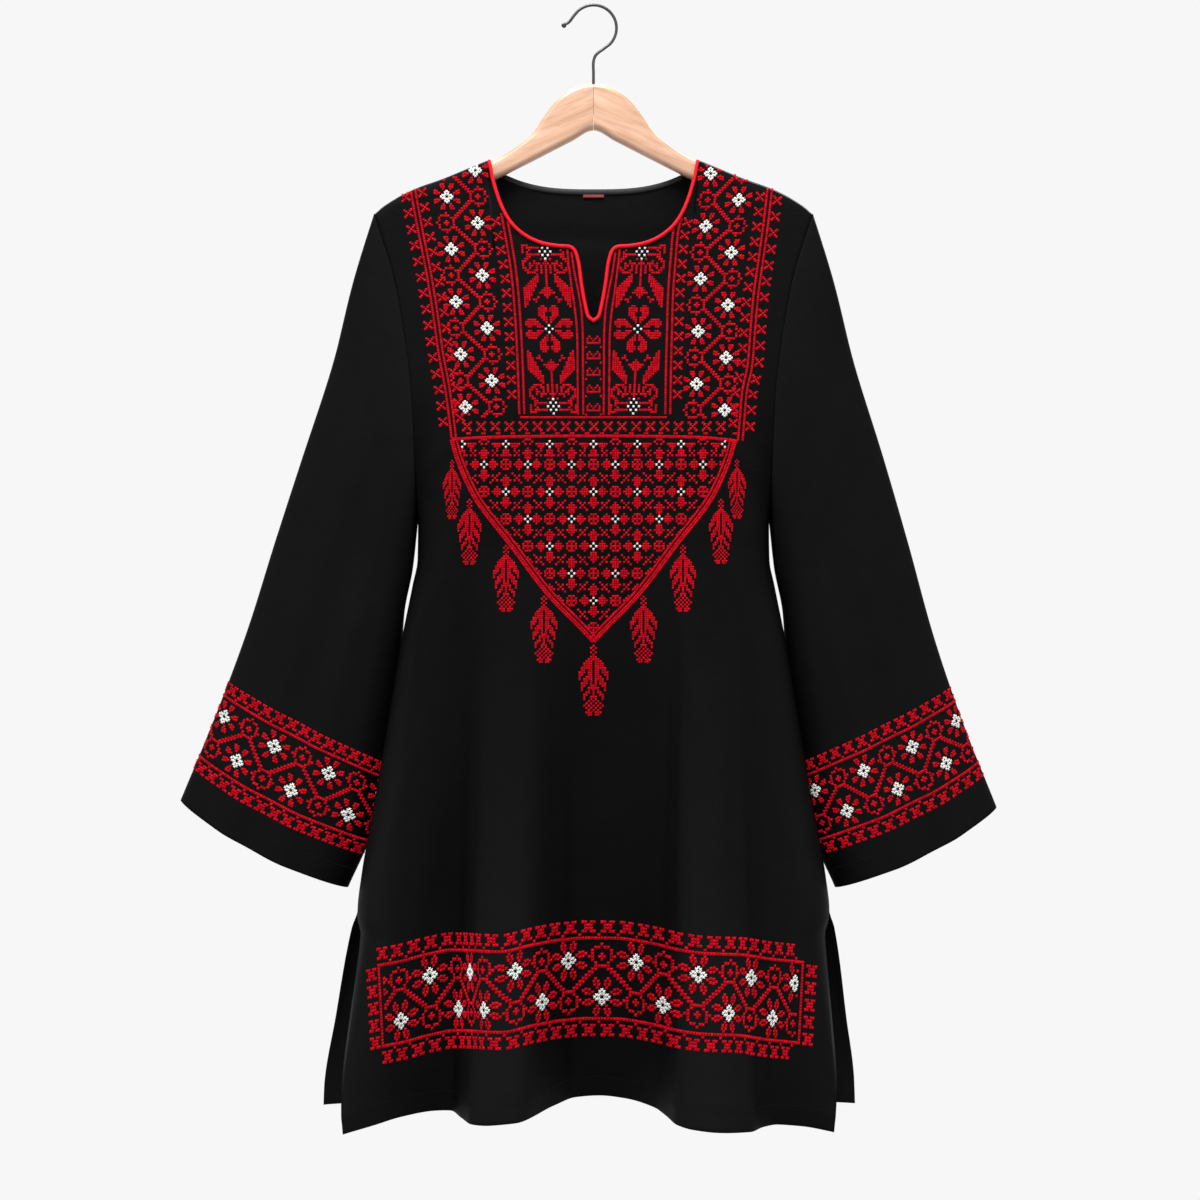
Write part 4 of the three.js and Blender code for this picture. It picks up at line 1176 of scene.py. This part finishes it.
def makeHemStitches():
    batches = []
    for grid in (frontGrid, backGrid):
        length = np.linalg.norm(np.diff(grid[-1], axis=0), axis=1).sum()
        count = int(length / hemStitch["pitch"])

        def place(cells, grid=grid, count=count):
            distance = hemStitch["above"] - cells[:, 1] * hemStitch["row"]
            return aboveHem(grid, (cells[:, 0] + 0.5) / count, distance)
        batches.append(sewCells([(i, 0) for i in range(count)], place, "dash"))
    for side in (-1, 1):
        around, whole = cuffPlace(side, hemStitch["pitch"], 0)
        level = (cuffBand["upper"] - hemStitch["above"]) / cuffRow()

        def place(cells, around=around, level=level):
            down = level + cells[:, 1] * hemStitch["row"] / cuffRow()
            return around(np.stack([cells[:, 0], down], -1))
        cells = [(i, 0) for i in range(int(whole / hemStitch["pitch"]))]
        batches.append(sewCells(cells, place, "dash", facing=side))
    return joinStitches("hem_stitches", batches)


print("embroidery")
bibRed, bibWhite = makeBib()
hemRed, hemWhite = makeHemBand()
cuffRed, cuffWhite = makeCuffBands()
hemStitches = makeHemStitches()


# Materials

def feed(tree, socket, value):
    if isinstance(value, bpy.types.NodeSocket):
        tree.links.new(value, socket)
    else:
        socket.default_value = value


# A node with its settings; each input is a value or the socket that feeds it
def node(tree, kind, inputs=(), **settings):
    made = tree.nodes.new(kind)
    for key, value in settings.items():
        setattr(made, key, value)
    for key, value in dict(inputs).items():
        feed(tree, made.inputs[key], value)
    return made


def newMaterial(name, **values):
    material = bpy.data.materials.new(name)
    material.use_nodes = True
    tree = material.node_tree
    shader = tree.nodes["Principled BSDF"]
    for socket, value in values.items():
        feed(tree, shader.inputs[socket], value)
    return material, tree, shader


def objectPlace(tree):
    return node(tree, "ShaderNodeTexCoord").outputs["Object"]


def attributeOf(tree, name):
    return node(tree, "ShaderNodeAttribute", attribute_name=name).outputs["Fac"]


def noise(tree, place, scale, detail, roughness=0.5, distortion=0.0):
    inputs = {"Vector": place, "Scale": scale, "Detail": detail, "Roughness": roughness,
              "Distortion": distortion}
    return node(tree, "ShaderNodeTexNoise", inputs).outputs["Fac"]


def wave(tree, place, scale, distortion, direction):
    inputs = {"Vector": place, "Scale": scale, "Distortion": distortion, "Detail": 1.0}
    return node(tree, "ShaderNodeTexWave", inputs, bands_direction=direction).outputs["Fac"]


def sums(tree, operation, *inputs):
    return node(tree, "ShaderNodeMath", dict(enumerate(inputs)), operation=operation).outputs[0]


def stretched(tree, place, **inputs):
    return node(tree, "ShaderNodeMapping", {"Vector": place, **inputs}).outputs[0]


# A colour between two stops, each a place and a colour
def ramp(tree, factor, *stops):
    made = node(tree, "ShaderNodeValToRGB", {"Fac": factor})
    for element, (place, colour) in zip(made.color_ramp.elements, stops):
        element.position = place
        element.color = (*colour, 1)
    return made.outputs["Color"]


def bump(tree, height, strength, distance, **below):
    inputs = {"Strength": strength, "Distance": distance, "Height": height, **below}
    return node(tree, "ShaderNodeBump", inputs).outputs["Normal"]


clothLook = {
    "dark": (0.0006, 0.0006, 0.0006), "light": (0.0050, 0.0050, 0.0052), "roughness": 0.5,
    "specular": 0.02, "weavePitch": 0.00062, "waveLength": 3.2, "crepe": 900, "cloud": 0.3,
}


# Black crepe: paler by the painted light and shade and by a random cloud, with a crossed weave, pebbles
# and crinkles as bump
def clothMaterial():
    look = clothLook
    material, tree, shader = newMaterial("black_crepe", **{
        "Roughness": look["roughness"], "Specular IOR Level": look["specular"],
    })
    place = objectPlace(tree)
    cloud = noise(tree, place, 9.0, 5.0, 0.6)
    cloudy = sums(tree, "MULTIPLY_ADD", cloud, look["cloud"], -look["cloud"] / 2)
    # the painted light attribute added to the random cloud of tone
    cloudAndPaintedLight = sums(tree, "ADD", cloudy, attributeOf(tree, "paintedLight"))
    colour = ramp(tree, cloudAndPaintedLight, (0.0, look["dark"]), (1.0, look["light"]))
    scale = 1 / look["weavePitch"] / look["waveLength"]
    crossed = sums(tree, "MULTIPLY", *[wave(tree, place, scale, 1.2, way) for way in "XZ"])
    pebbled = sums(tree, "ADD", crossed, noise(tree, place, look["crepe"], 2.0))
    fine = bump(tree, pebbled, 0.35, 0.0003)
    soft = bump(tree, noise(tree, place, 38.0, 4.0, 0.55), 0.25, 0.004, Normal=fine)
    feed(tree, shader.inputs["Base Color"], colour)
    feed(tree, shader.inputs["Normal"], soft)
    return material


# Cord or tape: fine threads across it as bump, over a slightly uneven colour
def tapeMaterial(name, dark, light, roughness, scale, sheen, specular):
    material, tree, shader = newMaterial(name, **{
        "Roughness": roughness, "Specular IOR Level": specular,
        "Sheen Weight": sheen, "Sheen Roughness": 0.4,
    })
    place = objectPlace(tree)
    colour = ramp(tree, noise(tree, place, scale, 3.0, 0.6), (0.3, dark), (0.7, light))
    strands = wave(tree, place, scale * 1.6, 2.0, "DIAGONAL")
    feed(tree, shader.inputs["Base Color"], colour)
    feed(tree, shader.inputs["Normal"], bump(tree, strands, 0.3, 0.0003))
    return material


# Thread: from dark to light by the shade of each strand
def stitchMaterial(name, dark, light):
    material, tree, shader = newMaterial(name, **{"Roughness": 0.5, "Specular IOR Level": 0.03})
    colour = ramp(tree, attributeOf(tree, "shade"), (0.0, dark), (1.0, light))
    feed(tree, shader.inputs["Base Color"], colour)
    return material


woodLook = {
    "dark": (0.29, 0.153, 0.087), "light": (0.44, 0.265, 0.18), "fleck": (0.24, 0.12, 0.06),
    "slope": 23,
}


# Beech: bands and short flecks drawn out along the arm, under satin lacquer
def woodMaterial(name, side):
    material, tree, shader = newMaterial(name, **{
        "Roughness": 0.38, "Specular IOR Level": 0.4, "Coat Weight": 0.35, "Coat Roughness": 0.28,
    })
    turned = stretched(tree, objectPlace(tree), Rotation=(0, -side * math.radians(woodLook["slope"]), 0))
    bands = noise(tree, stretched(tree, turned, Scale=(1.0, 9.0, 9.0)), 14.0, 6.0, 0.62, 0.4)
    flecks = noise(tree, stretched(tree, turned, Scale=(60.0, 700.0, 700.0)), 1.0, 2.0)
    mix = node(tree, "ShaderNodeMix", {
        "Factor": ramp(tree, flecks, (0.62, (0, 0, 0)), (0.74, (0.5, 0.5, 0.5))),
    }, data_type="RGBA")
    feed(tree, mix.inputs["A"], ramp(tree, bands, (0.3, woodLook["dark"]), (0.66, woodLook["light"])))
    feed(tree, mix.inputs["B"], (*woodLook["fleck"], 1))
    feed(tree, shader.inputs["Base Color"], mix.outputs["Result"])
    feed(tree, shader.inputs["Normal"], bump(tree, flecks, 0.12, 0.0004))
    return material


def wireMaterial():
    material, tree, shader = newMaterial("black_wire", **{
        "Base Color": (0.012, 0.012, 0.013, 1), "Metallic": 0.0, "Specular IOR Level": 0.5,
    })
    uneven = noise(tree, objectPlace(tree), 300.0, 3.0)
    feed(tree, shader.inputs["Roughness"], ramp(tree, uneven, (0.3, (0.24,) * 3), (0.7, (0.4,) * 3)))
    return material


def floorMaterial():
    material, tree, shader = newMaterial("pale_floor", **{"Roughness": 0.9, "Specular IOR Level": 0.1})
    uneven = noise(tree, objectPlace(tree), 3.0, 2.0)
    feed(tree, shader.inputs["Base Color"], ramp(tree, uneven, (0.3, (0.50,) * 3), (0.7, (0.54,) * 3)))
    return material


print("materials")
tapes = {
    # darker and lighter colour, roughness, scale of the threads, sheen, specular
    "red_piping": ((0.42, 0.0015, 0.008), (0.57, 0.0035, 0.014), 0.5, 260, 0.0, 0.1),
    "black_tape": ((0.005, 0.005, 0.006), (0.011, 0.011, 0.012), 0.6, 300, 0.1, 0.2),
    "label_tape": ((0.10, 0.012, 0.016), (0.19, 0.03, 0.035), 0.7, 500, 0.1, 0.2),
}
threads = {
    # darker and lighter colour
    "red_thread": ((0.27, 0.0007, 0.0055), (0.57, 0.003, 0.0135)),
    "white_thread": ((0.50, 0.50, 0.47), (0.72, 0.72, 0.69)),
    "black_thread": ((0.006,) * 3, (0.012,) * 3),
}
redStitches, whiteStitches = (bibRed, hemRed, cuffRed), (bibWhite, hemWhite, cuffWhite)
made = [
    (clothMaterial(), front, back, leftSleeve, rightSleeve),
    (tapeMaterial("red_piping", *tapes["red_piping"]), piping),
    (tapeMaterial("black_tape", *tapes["black_tape"]), binding),
    (tapeMaterial("label_tape", *tapes["label_tape"]), labelBar),
    (stitchMaterial("red_thread", *threads["red_thread"]), *redStitches),
    (stitchMaterial("white_thread", *threads["white_thread"]), *whiteStitches),
    (stitchMaterial("black_thread", *threads["black_thread"]), hemStitches),
    (woodMaterial("beech_left", -1), leftArm), (woodMaterial("beech_right", 1), rightArm),
    (wireMaterial(), hookWire),
]
for material, *pieces in made:
    for piece in pieces:
        piece.data.materials.append(material)


# What rides on what

dressed = [
    (front, "cloth", "front_top", "front_chest", "front_skirt"),
    (back, "cloth", "back_top", "back_chest", "back_skirt"),
    (leftSleeve, "cloth", "left_sleeve"), (rightSleeve, "cloth", "right_sleeve"),
    (piping, "piping", "neck_piping"), (binding, "binding", "back_neck_binding"),
    (labelBar, "label", "neck_label"), (leftArm, "wood", "hanger_left_arm"),
    (rightArm, "wood", "hanger_right_arm"), (hookWire, "wire", "hanger_hook"),
]
for piece, slot, *cadNodes in dressed:
    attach(piece, "root")
    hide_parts(*cadNodes)

sewnOn = [(redStitches, "stitch_red"), (whiteStitches, "stitch_white"), ([hemStitches], "cloth")]
for pieces, slot in sewnOn:
    for piece in pieces:
        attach(piece, "root")


# Camera, light and floor

def makeCamera():
    camera = bpy.data.cameras.new("camera")
    camera.lens = view["lens"]
    camera.sensor_width = view["sensor"]
    holder = placed("camera", camera)
    holder.location = (view["centre"][0] * mm, -view["distance"] * mm, view["centre"][1] * mm)
    holder.rotation_euler = (math.radians(90), 0, 0)
    bpy.context.scene.camera = holder


def makeLights():
    target = np.array([0, 0, view["centre"][1]]) * mm
    for number, (x, y, z, size, watts) in enumerate(view["lights"]):
        lamp = bpy.data.lights.new(f"softbox_{number}", "AREA")
        lamp.size = size * mm
        lamp.energy = watts
        holder = placed(f"softbox_{number}", lamp)
        holder.location = np.array([x, y, z]) * mm
        aim = placed(f"aim_{number}", None)
        aim.location = target
        turn = holder.constraints.new("TRACK_TO")
        turn.target = aim
        turn.track_axis = "TRACK_NEGATIVE_Z"
        turn.up_axis = "UP_Y"
    world = bpy.data.worlds.new("studio")
    world.use_nodes = True
    background = world.node_tree.nodes["Background"]
    background.inputs["Color"].default_value = (1, 1, 1, 1)
    background.inputs["Strength"].default_value = view["world"]
    bpy.context.scene.world = world
    bpy.context.scene.view_settings.view_transform = "Standard"


def makeFloor():
    angle = np.linspace(0, 2 * math.pi, 96, endpoint=False)
    radii = view["floorRadius"] * np.array([0.02, 0.5, 0.97, 1.0, 1.0, 0.97])[:, None]
    z = view["floorZ"] + np.array([0, 0, 0, -4, -14, -18])[:, None]
    points = spread(radii * np.cos(angle), radii * np.sin(angle), z)
    faces = gridFaces(6, 96, True).tolist() + [list(range(96)), list(range(5 * 96, 6 * 96))[::-1]]
    floor = makeObject("floor", points, faces)
    pointOutwards(floor)
    floor.data.materials.append(floorMaterial())


print("studio")
makeCamera()
makeLights()
makeFloor()
